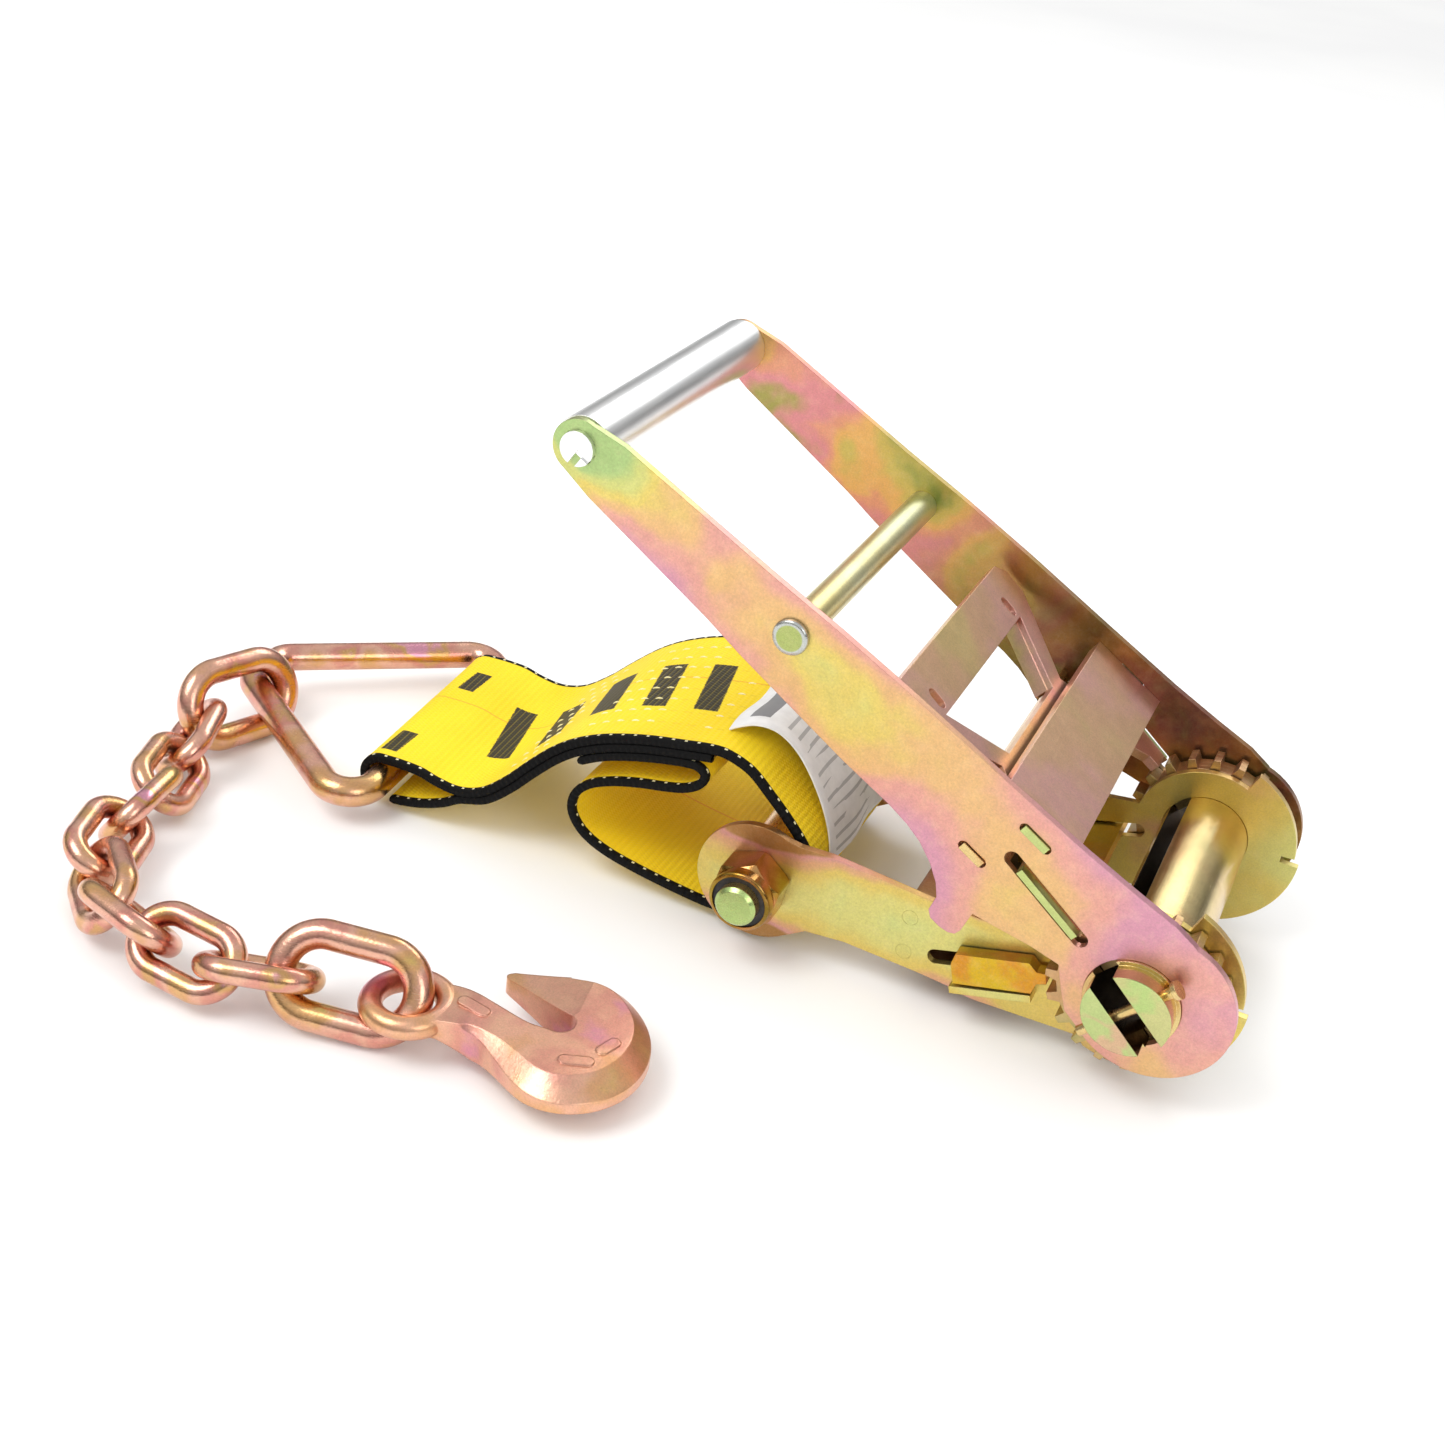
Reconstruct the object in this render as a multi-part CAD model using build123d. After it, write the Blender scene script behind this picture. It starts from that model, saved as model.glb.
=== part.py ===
from build123d import *
import math
import os

# Wide-handle ratchet buckle with a short fixed webbing end, a delta ring, a tail of chain
# and an eye grab hook. Millimetres. Origin at the middle of the mandrel axis, which runs
# along Y. +Z is up. The near side, with the anchor bolt's nut, is -Y. The handle, webbing
# and ring lie towards -X, and the chain leads the hook back along the -Y side.

os.makedirs("parts", exist_ok=True)

# ---------------------------------------------------------------- shared dimensions
GROUND = -37.2            # plane everything rests on
HANDLE_DEG = 32.4         # handle above the horizontal at rest
LOCK_DEG = 14.8           # slope of the lock pawl's slots
DRIVE_DEG = 6.1           # slope of the drive pawl's slots in the handle frame
PLATE_T = 3.0             # base plates and handle plates
BASE_IN = 53.0            # inner face of a base plate, from the middle
BASE_OUT = BASE_IN + PLATE_T
HANDLE_IN = 67.7          # inner face of a handle plate
HANDLE_OUT = HANDLE_IN + PLATE_T
HOLE_R = 17.0             # mandrel hole in base plates and handle plates
GEAR_IN = 56.6            # inner side of the gear space and of the lock pawl's ears
GEAR_TIP_R = 31.4
PAWL_TIP = GEAR_TIP_R + 0.5   # both pawls stand just clear of the teeth
SPRING_WIRE = 0.9


# ---------------------------------------------------------------- helpers
def save(node, *shapes):
    """Write all the solids in the shapes as one STEP file."""
    solids = []
    for shape in shapes:
        solids += list(shape.solids())
    piece = solids[0] if len(solids) == 1 else Compound(children=solids)
    piece.label = node
    export_step(piece, f"parts/{node}.step")


def heading_xz(deg):
    """Unit vector in the XZ plane, at an angle from +X towards +Z."""
    return Vector(math.cos(math.radians(deg)), 0, math.sin(math.radians(deg)))


def polar(radius, deg):
    return radius * math.cos(math.radians(deg)), radius * math.sin(math.radians(deg))


# the handle's own frame: along it away from the mandrel, and across it upwards
HANDLE_ALONG = heading_xz(180 - HANDLE_DEG)
HANDLE_ACROSS = heading_xz(90 - HANDLE_DEG)
LOCK_OUT = heading_xz(180 + LOCK_DEG)   # along the lock pawl's slots, away from the mandrel


def slab(sketch, y0, y1):
    """A sketch drawn in world X and Z, made solid from y0 to y1."""
    return extrude(Plane.XZ.offset(-y1) * sketch, amount=y1 - y0)


def handle_slab(sketch, y0, y1):
    """A sketch drawn along the handle (x) and across it (y), solid from y0 to y1."""
    plane = Plane(origin=(0, y0, 0), x_dir=HANDLE_ALONG, z_dir=(0, 1, 0))
    return extrude(plane * sketch, amount=y1 - y0)


def lock_slab(sketch, y0, y1):
    """A sketch drawn along the lock pawl's slots (x) and below them (y), from y0 to y1."""
    plane = Plane(origin=(0, y1, 0), x_dir=LOCK_OUT, z_dir=(0, -1, 0))
    return extrude(plane * sketch, amount=y1 - y0)


def far(shape):
    """The same part on the other side of the buckle."""
    return shape.mirror(Plane.XZ)


def both_sides(shape):
    return far(shape), shape


def poly(points):
    return make_face(Polyline(*points, close=True))


def rect(x0, x1, y0, y1):
    return poly([(x0, y0), (x1, y0), (x1, y1), (x0, y1)])


def radial_slot(deg, inner, outer, width):
    """A straight slot with round ends on a line through the origin."""
    r = width / 2
    slot = rect(inner + r, outer - r, -r, r)
    slot = slot + Pos(inner + r, 0) * Circle(r) + Pos(outer - r, 0) * Circle(r)
    return Rot(0, 0, deg) * slot


def sector(radius, start, end):
    """A pie slice from one angle to another, in degrees."""
    steps = max(2, int((end - start) / 30) + 1)
    step = (end - start) / steps
    reach = radius / math.cos(math.radians(step / 2)) + 0.5   # clears the arc everywhere
    points = [(0, 0)] + [polar(reach, start + step * i) for i in range(steps + 1)]
    return poly(points) & Circle(radius)


def hexagon(across_flats, turn):
    radius = across_flats / 2 / math.cos(math.pi / 6)
    return poly([polar(radius, 60 * i + turn) for i in range(6)])


def rod(x, y, z, radius, length):
    """A cylinder along Y, centred on a point."""
    return Pos(x, y, z) * Rot(90, 0, 0) * Cylinder(radius, length)


def circles_by_y(solid):
    return solid.edges().filter_by(GeomType.CIRCLE).sort_by(Axis.Y)


def coil(origin, direction, length, radius, turns):
    """A coil spring from origin along direction."""
    helix = Helix(pitch=length / turns, height=length, radius=radius)
    wire = Plane(origin=helix @ 0, z_dir=helix % 0) * Circle(SPRING_WIRE / 2)
    spring = sweep(wire, path=helix, is_frenet=True)
    return Plane(origin=origin, z_dir=direction).location * spring


# ---------------------------------------------------------------- base plates
CAM_LOW_R = 27.6          # base disc where the pawl can reach the gear
CAM_SECTORS = [           # radius, start and end angle
    (35.2, 3.0, 66.0),    # holds the pawl out
    (37.2, -112.0, -2.0),
    (30.0, -3.0, 4.0),
]
BASE_ARM = [              # x, z
    (-142.5, 9.6), (-129, 7.0), (-116.4, 7.3), (-88, 4.4), (-77, 3.2), (-50, 2.6), (-22, 6.0),
    (0, 0), (-13.9, -34.3), (-17, -31.2), (-56, -31.6), (-59.5, -31.2), (-63, -29.9),
    (-78, -28.3), (-106.6, -26.4), (-122, -27.6), (-131, -33.3), (-144, -20),
]
BOSS_X, BOSS_Z, BOSS_R = -144.0, -13.5, 23.7
BOLT_X, BOLT_Z = -143.5, -12.5
BOLT_R = 8.0              # M16
LOCK_SLOT = (23.2, 77.6, 6.0)        # inner end, outer end, width
RIVETS = [(-84.0, -21.5), (-84.0, -6.5)]   # x, z
RIVET_R = 3.0
FOOT = (38.0, 68.0, 7.4, 10.2)       # along and below the slot line
FOOT_OUT = 63.0


def base_plate():
    """The near plate."""
    cam = Circle(CAM_LOW_R)
    for radius, start, end in CAM_SECTORS:
        cam = cam + sector(radius, start, end)
    outline = cam + poly(BASE_ARM) + Pos(BOSS_X, BOSS_Z) * Circle(BOSS_R)
    outline = outline - Circle(HOLE_R) - Pos(BOLT_X, BOLT_Z) * Circle(BOLT_R + 0.25)
    outline = outline - radial_slot(180 + LOCK_DEG, *LOCK_SLOT)
    for x, z in RIVETS:
        outline = outline - Pos(x, z) * Circle(RIVET_R + 0.02)
    plate = slab(outline, -BASE_OUT, -BASE_IN)
    # turned-out foot under the lock pawl's ear
    return plate + lock_slab(rect(*FOOT), -FOOT_OUT, -BASE_IN - 0.5)


base_near = base_plate()
save("base_plate_near", base_near)
save("base_plate_far", far(base_near))

# ---------------------------------------------------------------- cross channel and rivets
CHANNEL_L = [             # x, z of the floor and of the upright wall at its -X edge
    (-86, -25.5), (-41, -25.5), (-41, -22.5), (-83, -22.5), (-83, -2.5), (-86, -2.5),
]
CHANNEL_TOP = (-86, -62, -2.5, 0.5)   # x range, z range of the flange above the wall
CHANNEL_BEND_R = 2.0
BASE_FIT = 0.02


def cross_channel():
    """The channel between the base plates, below the lock pawl and round its outer edge."""
    half_length = BASE_IN - BASE_FIT
    channel = slab(poly(CHANNEL_L), -half_length, half_length)
    channel = channel + slab(rect(*CHANNEL_TOP), -half_length, half_length)
    return fillet(channel.edges().filter_by(Axis.Y).sort_by(Axis.X)[:2], CHANNEL_BEND_R)


def base_rivets():
    """Two a side through the plates to the ends of the channel's wall, dressed flush."""
    y = BASE_IN + PLATE_T / 2 - BASE_FIT / 2
    return [rod(x, side * y, z, RIVET_R, PLATE_T - BASE_FIT)
            for side in (-1, 1) for x, z in RIVETS]


save("base_cross_channel", cross_channel())
save("base_rivets", *base_rivets())

# ---------------------------------------------------------------- anchor bolt
BOLT_END_Y = -78.0
HEX_FLATS = 24.0
SEAT_Y = BASE_OUT + 0.2   # where the head and the nut begin, either side
HEAD_T = 10.0
NUT_T = 12.8
COLLAR_Y, COLLAR_T, COLLAR_R = -71.2, 5.0, 12.0
RECESS_Y, RECESS_T, RECESS_R = -72.4, 6.0, 10.4
INSERT_Y, INSERT_T, INSERT_R = -71.3, 3.4, 10.3
THREAD_R = BOLT_R + 0.05
SLEEVE_R = 12.0


def bolt_rod(y, radius, length):
    return rod(BOLT_X, y, BOLT_Z, radius, length)


def anchor_bolt():
    at_bolt = Pos(BOLT_X, BOLT_Z)
    bolt = slab(at_bolt * Circle(BOLT_R), BOLT_END_Y, SEAT_Y)
    bolt = chamfer(circles_by_y(bolt)[0], 1.4)
    head = slab(at_bolt * hexagon(HEX_FLATS, turn=12), SEAT_Y, SEAT_Y + HEAD_T)
    # a chamfered cylinder takes the hexagon's outer corners off
    rounding = bolt_rod(SEAT_Y + HEAD_T / 2, 13.4, HEAD_T)
    rounding = chamfer(circles_by_y(rounding)[-1], 1.6)
    return bolt + (head & rounding)


def anchor_nut():
    nut = slab(Pos(BOLT_X, BOLT_Z) * hexagon(HEX_FLATS, turn=20), -SEAT_Y - NUT_T, -SEAT_Y)
    rounding = bolt_rod(-SEAT_Y - NUT_T / 2, 13.6, NUT_T)
    rounding = chamfer(circles_by_y(rounding)[0], 1.8)
    rounding = chamfer(circles_by_y(rounding)[-1], 0.7)
    nut = nut & rounding
    collar = bolt_rod(COLLAR_Y, COLLAR_R, COLLAR_T)
    nut = nut + fillet(circles_by_y(collar)[0], 1.1)
    nut = nut - bolt_rod(-66, THREAD_R, 30)
    return nut - bolt_rod(RECESS_Y, RECESS_R, RECESS_T)


def nut_insert():
    return bolt_rod(INSERT_Y, INSERT_R, INSERT_T) - bolt_rod(INSERT_Y, THREAD_R, 9)


def anchor_sleeve():
    ring = Circle(SLEEVE_R) - Circle(BOLT_R + 0.6)
    return slab(Pos(BOLT_X, BOLT_Z) * ring, -BASE_IN + 0.3, BASE_IN - 0.3)


save("anchor_bolt", anchor_bolt())
save("anchor_nut", anchor_nut())
save("nut_insert", nut_insert())
save("anchor_sleeve", anchor_sleeve())

# ---------------------------------------------------------------- lock pawl
LOCK_END_Y = 62.6
LOCK_BODY = (PAWL_TIP, 66.0, -2.0, 2.0)     # along and below the slot line
LOCK_EAR = [              # along the slots, below the slot line
    (PAWL_TIP, -2.0), (PAWL_TIP + 3.2, -2.4), (PAWL_TIP + 5.6, -5.8), (64.5, -6.0),
    (66.5, -2.0), (66.5, 6.2), (PAWL_TIP + 6.0, 6.6), (PAWL_TIP + 3.6, 2.4), (PAWL_TIP, 2.0),
]
FINGER_RECESS = (58.0, 70.0, -4, 4)
FINGER_RECESS_HALF = 22
LOCK_SPRING_X, LOCK_SPRING_Y, LOCK_SPRING_Z = -81.8, 36.0, -17.6


def lock_pawl():
    pawl = lock_slab(rect(*LOCK_BODY), -LOCK_END_Y, LOCK_END_Y)
    ear = poly(LOCK_EAR)
    pawl = pawl + lock_slab(ear, -LOCK_END_Y, -GEAR_IN) + lock_slab(ear, GEAR_IN, LOCK_END_Y)
    # finger recess in the middle of its outer edge
    return pawl - lock_slab(rect(*FINGER_RECESS), -FINGER_RECESS_HALF, FINGER_RECESS_HALF)


def lock_springs():
    """Two springs that stand on the channel's wall, short of the pawl."""
    return [coil(Vector(LOCK_SPRING_X, y, LOCK_SPRING_Z), LOCK_OUT * -1,
                 length=9.0, radius=2.3, turns=5)
            for y in (-LOCK_SPRING_Y, LOCK_SPRING_Y)]


save("lock_pawl", lock_pawl())
save("lock_springs", *lock_springs())

# ---------------------------------------------------------------- mandrel
SLOT_W = 9.4              # slot that takes the loose webbing
SLOT_DEG = 136.1          # direction of that slot at rest
MANDREL_R = 16.88
MANDREL_END_R = 15.4
SHOULDER_Y = 72.0         # where the mandrel steps down to its end radius
MANDREL_END_Y = 80.0
PIN_R, PIN_LEN = 2.0, 41.0
PIN_HEAD_R, PIN_HEAD_T = 3.4, 1.8
PIN_PLANES = [Plane(origin=(0, y, 0), z_dir=heading_xz(SLOT_DEG + 90)) for y in (-75.6, 75.6)]


def mandrel_half(side):
    """One half: side 1 is below the slot, towards -X, and side -1 is above it."""
    slot = Rot(0, 0, SLOT_DEG) * Rectangle(60, SLOT_W)
    keep = Rot(0, 0, SLOT_DEG) * Pos(0, side * 30) * Rectangle(80, 60)
    middle = (Circle(MANDREL_R) - slot) & keep
    end = (Circle(MANDREL_END_R) - slot) & keep
    body = (slab(middle, -SHOULDER_Y, SHOULDER_Y)
            + slab(end, -MANDREL_END_Y, -SHOULDER_Y)
            + slab(end, SHOULDER_Y, MANDREL_END_Y))
    for plane in PIN_PLANES:
        body = body - plane.location * Cylinder(PIN_R + 0.05, 60.0)
    return body


def mandrel_pins():
    """A pin across the slot at each end, with its head at the top."""
    head_at = Pos(0, 0, (PIN_HEAD_T - PIN_LEN) / 2)
    return [plane.location * Cylinder(PIN_R, PIN_LEN)
            + plane.location * head_at * Cylinder(PIN_HEAD_R, PIN_HEAD_T)
            for plane in PIN_PLANES]


save("mandrel_half_upper", mandrel_half(1))
save("mandrel_half_lower", mandrel_half(-1))
save("mandrel_pins", *mandrel_pins())

# ---------------------------------------------------------------- ratchet gears
TEETH = 20
PHASE = 0.35              # the two pawls stand 53.3 degrees apart, three teeth are 54
GEAR_ROOT_R = 27.4
TOOTH = [                 # angle, radius; the steep face comes first, facing the lock pawl
    (4.7, GEAR_ROOT_R), (5.6, GEAR_TIP_R), (10.4, GEAR_TIP_R), (13.3, GEAR_ROOT_R),
]
LAMINATIONS, LAMINATION_T, LAMINATION_GAP = 3, 2.9, 0.1
KEY_AT, KEY_LEN = 15.2, 5.4


def gear_sketch():
    start = 180 + LOCK_DEG + PHASE
    teeth = poly([polar(radius, start + i * 360.0 / TEETH + angle)
                  for i in range(TEETH) for angle, radius in TOOTH])
    gear = teeth & Circle(GEAR_TIP_R)
    gear = gear - Circle(MANDREL_R + 0.03)
    # two keys reach into the mandrel's slot
    key = Rectangle(KEY_LEN, SLOT_W - 0.5)
    keys = Rot(0, 0, SLOT_DEG) * (Pos(KEY_AT, 0) * key + Pos(-KEY_AT, 0) * key)
    return gear + (keys & Circle(20))


def ratchet_gear(side):
    """The stack of laminations on the near (-1) or far (1) side."""
    gear = gear_sketch()
    stack = []
    for i in range(LAMINATIONS):
        y = GEAR_IN + 0.2 + i * (LAMINATION_T + LAMINATION_GAP)
        low = y if side > 0 else -y - LAMINATION_T
        stack.append(slab(gear, low, low + LAMINATION_T))
    return stack


save("ratchet_gear_near", *ratchet_gear(-1))
save("ratchet_gear_far", *ratchet_gear(1))

# ---------------------------------------------------------------- handle plates
# all handle sketches: distance along the handle, then across it
HANDLE_OUTLINE = [
    (266, 10.0), (253.4, 13.0), (222, 15.6), (189, 18.4), (158.4, 21.6), (125.8, 24.2),
    (84, 26.6), (49.6, 28.8), (27.9, 31.0), (12, 33.0), (2, 32.6), (-10, 10), (-5, -20),
    (3, -23.0), (11.5, -21.5), (18, -16.5), (25.5, -10.0), (36.2, -12.8), (47.3, -16.8),
    (57.6, -20.4), (55.6, -29.0), (56.0, -31.6), (58.0, -33.2), (61.4, -34.0), (65.8, -34.0),
    (68.4, -32.0), (70.0, -26.0), (74.0, -22.0), (80.5, -18.0), (88.5, -14.8), (96.0, -13.4),
    (104.8, -12.9), (126.9, -13.6), (151.5, -13.3), (178, -12.9), (194, -12.0),
    (229.6, -11.6), (252, -11.4), (265, -10.0),
]
HUB_AT, HUB_R = (-4.7, 4.5), 28.6
GRIP_U = 265.35           # grip axis along the handle
GRIP_END_R = 10.0
GRIP_TUBE_R, GRIP_WALL = 10.5, 1.6
GRIP_TAB_HALF_W, GRIP_TAB_HALF_T = 6.0, 1.7
GRIP_TAB_FIT = 0.2
DRIVE_SLOT = (25.2, 67.0, 5.8)         # inner end, outer end, width
CROSSBAR_AT, CROSSBAR_R = (169.4, 7.0), 6.0
CROSSBAR_BORE_R = 4.1
BRACE_TAB = (58.6, 69.8, 17.2, 20.2)
SEAT_TAB = (68.9, 78.5, -4.8, -1.8)
TAB_OUT = HANDLE_OUT + 0.9


def handle_plate():
    """The near plate."""
    plate = poly(HANDLE_OUTLINE) + Pos(GRIP_U, 0) * Circle(GRIP_END_R) + Pos(*HUB_AT) * Circle(HUB_R)
    plate = plate - Circle(HOLE_R)
    plate = plate - radial_slot(DRIVE_DEG, *DRIVE_SLOT)
    for u0, u1, v0, v1 in (BRACE_TAB, SEAT_TAB):
        opening = SlotOverall(u1 - u0 + 2.4, v1 - v0 + 0.7)
        plate = plate - Pos((u0 + u1) / 2, (v0 + v1) / 2) * opening
    plate = plate - Pos(*CROSSBAR_AT) * Circle(CROSSBAR_BORE_R)
    half_w, half_t = GRIP_TAB_HALF_W + GRIP_TAB_FIT, GRIP_TAB_HALF_T + GRIP_TAB_FIT
    plate = plate - rect(GRIP_U - half_w, GRIP_U + half_w, -half_t, half_t)
    return handle_slab(plate, -HANDLE_OUT, -HANDLE_IN)


handle_near = handle_plate()
save("handle_plate_near", handle_near)
save("handle_plate_far", far(handle_near))


# ---------------------------------------------------------------- grip and crossbar
def grip_tube():
    ring = Pos(GRIP_U, 0) * (Circle(GRIP_TUBE_R) - Circle(GRIP_TUBE_R - GRIP_WALL))
    return handle_slab(ring, -HANDLE_IN + 0.1, HANDLE_IN - 0.1)


def grip_tab():
    """The far tab that holds the grip tube in its plate."""
    inner = HANDLE_IN - 14.0

    def bar(half_width, outer):
        strip_sketch = rect(GRIP_U - half_width, GRIP_U + half_width,
                            -GRIP_TAB_HALF_T, GRIP_TAB_HALF_T)
        return handle_slab(strip_sketch, inner, outer)

    body = bar(GRIP_TAB_HALF_W, HANDLE_OUT + 1.2)
    stop = bar(GRIP_TAB_HALF_W + 2.0, HANDLE_IN - 0.15)
    # the end outside is dressed over into a round head with a notch
    head = (Pos(GRIP_U, 0) * Circle(6.3)
            - rect(GRIP_U - 7.0, GRIP_U - 0.6, -1.2, 0.2)
            - rect(GRIP_U - 3.2, GRIP_U - 0.6, -6.5, 0.2))
    return body + stop + handle_slab(head, HANDLE_OUT + 0.06, HANDLE_OUT + 1.9)


def handle_crossbar():
    ring = Pos(*CROSSBAR_AT) * (Circle(CROSSBAR_R) - Circle(CROSSBAR_BORE_R))
    return handle_slab(ring, -HANDLE_IN + 0.05, HANDLE_IN - 0.05)


def crossbar_rivet():
    """The far rivet, through the plate into the crossbar."""
    at_bar = Pos(*CROSSBAR_AT)
    shank = handle_slab(at_bar * Circle(4.0), HANDLE_IN - 16, HANDLE_OUT + 0.1)
    head = handle_slab(at_bar * Circle(6.6), HANDLE_OUT + 0.05, HANDLE_OUT + 2.2)
    return shank + fillet(circles_by_y(head)[-1], 1.4)


save("grip_tube", grip_tube())
save("grip_tabs", *both_sides(grip_tab()))
save("handle_crossbar", handle_crossbar())
save("crossbar_rivets", *both_sides(crossbar_rivet()))

# ---------------------------------------------------------------- brace and spring seat
BRACE = [                 # a channel across the handle, above the drive pawl
    (52.0, 17.2), (80.0, 17.2), (80.0, 14.0), (82.6, 14.0), (82.6, 20.2), (49.4, 20.2),
    (49.4, 12.6), (52.0, 12.6),
]
SPRING_SEAT = [           # a strip under the drive pawl, with a turned-up lip
    (66.0, -4.8), (84.0, -4.8), (84.0, 1.0), (81.4, 1.0), (81.4, -1.8), (66.0, -1.8),
]


def tabbed_strip(profile, tab):
    """A strip between the handle plates with a tab through each of them."""
    strip_body = handle_slab(poly(profile), -HANDLE_IN + 0.05, HANDLE_IN - 0.05)
    return strip_body + handle_slab(rect(*tab), -TAB_OUT, TAB_OUT)


save("handle_brace", tabbed_strip(BRACE, BRACE_TAB))
save("spring_seat", tabbed_strip(SPRING_SEAT, SEAT_TAB))

# ---------------------------------------------------------------- drive pawl
DRIVE_OUT = heading_xz(180 - HANDLE_DEG - DRIVE_DEG)   # outwards along the slots
DRIVE_UP = heading_xz(90 - HANDLE_DEG - DRIVE_DEG)
PAWL_T = 4.0
EAR_IN, EAR_OUT = 29.9, 59.5
# half outlines: distance from the mandrel, y
PAWL_HALF = [
    (45.0, 51.0), (PAWL_TIP + 5.6, 56.6), (PAWL_TIP, 57.2), (PAWL_TIP, 66.9), (EAR_IN, 66.9),
    (EAR_IN, 71.6), (EAR_OUT, 71.6), (EAR_OUT, 54.0), (86.0, 39.0), (112.0, 57.5),
    (119.0, 62.0), (129.0, 62.0), (134.0, 56.5),
]
WINDOW_HALF = [(113.5, 46.5), (86.5, 29.5)]
EAR_Y = 69.5
FINGER_HOLE_R, FINGER_HOLE_Y = 119.6, 44.0
FLANGE_START, FLANGE_END = (87.0, 29.5), (112.5, 45.5)
FLANGE_T = 2.4
FLANGE_LOW, FLANGE_HIGH = -6.6, -0.6   # from the slot line
DRIVE_SPRING_Y = 46.0


def mirrored(half):
    return half + [(r, -y) for r, y in reversed(half)]


def pawl_flat(points, low, high):
    """A flat piece drawn in distance and y, between two heights over the slot line."""
    # this plane's local y is -Y
    plane = Plane(origin=DRIVE_UP * low, x_dir=DRIVE_OUT, z_dir=DRIVE_UP)
    return extrude(plane * poly([(r, -y) for r, y in points]), amount=high - low)


def pawl_plane(r, y, height=0.0):
    origin = DRIVE_OUT * r + DRIVE_UP * height + Vector(0, y, 0)
    return Plane(origin=origin, x_dir=DRIVE_OUT, z_dir=DRIVE_UP)


def drive_pawl():
    pawl = pawl_flat(mirrored(PAWL_HALF), -PAWL_T / 2, PAWL_T / 2)
    # the ears are thinned from above, so they lie along the lower side of their slots
    for y in (-EAR_Y, EAR_Y):
        ear_cut = pawl_plane((EAR_IN + EAR_OUT) / 2, y, 0.6) * Rectangle(34.0, 5.0)
        pawl = pawl - extrude(ear_cut, amount=4.0)
    pawl = pawl - pawl_flat(mirrored(WINDOW_HALF), -10, 10)
    # oval finger holes near the corners of the pull
    for y in (-FINGER_HOLE_Y, FINGER_HOLE_Y):
        oval = pawl_plane(FINGER_HOLE_R, y) * SlotOverall(8.4, 4.6)
        pawl = pawl - extrude(oval, amount=10, both=True)
    # stiffening flanges along the arms
    start, end = Vector(*FLANGE_START), Vector(*FLANGE_END)
    run = (end - start).normalized()
    outward = Vector(-run.Y, run.X) * FLANGE_T
    corners = [start, end, end + outward, start + outward]
    for side in (-1, 1):
        flange = [(corner.X, side * corner.Y) for corner in corners]
        pawl = pawl + pawl_flat(flange, FLANGE_LOW, FLANGE_HIGH)
    return pawl


def drive_springs():
    """Two springs from the seat's lip back towards the mandrel."""
    foot = HANDLE_ALONG * 80.2 + HANDLE_ACROSS * 1.55
    return [coil(foot + Vector(0, y, 0), HANDLE_ALONG * -1, length=11.0, radius=2.2, turns=6)
            for y in (-DRIVE_SPRING_Y, DRIVE_SPRING_Y)]


save("drive_pawl", drive_pawl())
save("drive_springs", *drive_springs())

# ---------------------------------------------------------------- delta ring dimensions
RING_X, RING_Y, RING_Z = -311.0, -5.5, -27.4    # middle of the straight bar
RING_R = 6.0              # 12 mm bar
RING_YAW = 4.0
RING_HALF, RING_NOSE_HALF, RING_LEN = 77.0, 12.0, 82.0
RING_BEND, NOSE_BEND = 11.0, 9.0
RING_NOSE_Z = -23.0
YAW_COS, YAW_SIN = polar(1, RING_YAW)
RING_BAR_DIR = Vector(-YAW_SIN, YAW_COS, 0)

# ---------------------------------------------------------------- webbing
WEB_HALF = 50.8           # 4 in webbing
WEB_T = 3.7
STRAP_SHIFT = -3.0        # the ring end of the webbing sits a little towards -Y
RING_GAP = 0.9            # between the ring's bar and the webbing round it
# centre lines: x, z
STACK = [(-228, 12.2), (-220, 17.8), (-210, 22.0), (-196, 25.0), (-182, 27.4), (-169, 29.6)]
UNDER = [(-214, 13.4), (-204, 17.3), (-190, 19.6), (-178, 21.6), (-169, 22.6)]
SLEEVE_LOOP = [
    (-171, 29.4), (-163, 29.8), (-155, 27.2), (-146, 20.6), (-136, 12.0), (-128.5, 3.4),
    (-124.6, -5.0), (-124.4, -13.0), (-127.4, -21.0), (-133.4, -28.0), (-142.0, -32.8),
    (-152.0, -35.2), (-164.0, -35.2), (-178.0, -33.6), (-195.0, -31.0), (-208.0, -28.0),
    (-217.0, -24.0), (-222.8, -18.6), (-224.9, -12.4), (-223.2, -5.6), (-217.6, -0.2),
    (-209.0, 4.0), (-198.0, 7.2), (-187.0, 9.6), (-178.0, 12.6), (-172.4, 17.6), (-171.6, 22.4),
]
OVER_RING = [(-274.0, -22.6), (-283.0, -22.0), (-294.0, -19.8), (-303.0, -18.8)]
BELOW_RING = [(-303.0, -35.9), (-292.0, -33.4), (-282.0, -29.8), (-273.0, -26.0)]
DOUBLE = [
    (-277.0, -25.8), (-268.0, -22.4), (-259.0, -16.2), (-250.0, -8.2), (-241.0, 0.4),
    (-232.0, 8.6), (-222.0, 16.2),
]


def strip(points, thickness):
    """A thick polyline in the XZ plane."""
    left, right = [], []
    for i, (x, z) in enumerate(points):
        before, after = points[max(i - 1, 0)], points[min(i + 1, len(points) - 1)]
        dx, dz = after[0] - before[0], after[1] - before[1]
        scale = thickness / 2 / math.hypot(dx, dz)
        left.append((x - dz * scale, z + dx * scale))
        right.append((x + dz * scale, z - dx * scale))
    return poly(left + right[::-1])


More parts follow.
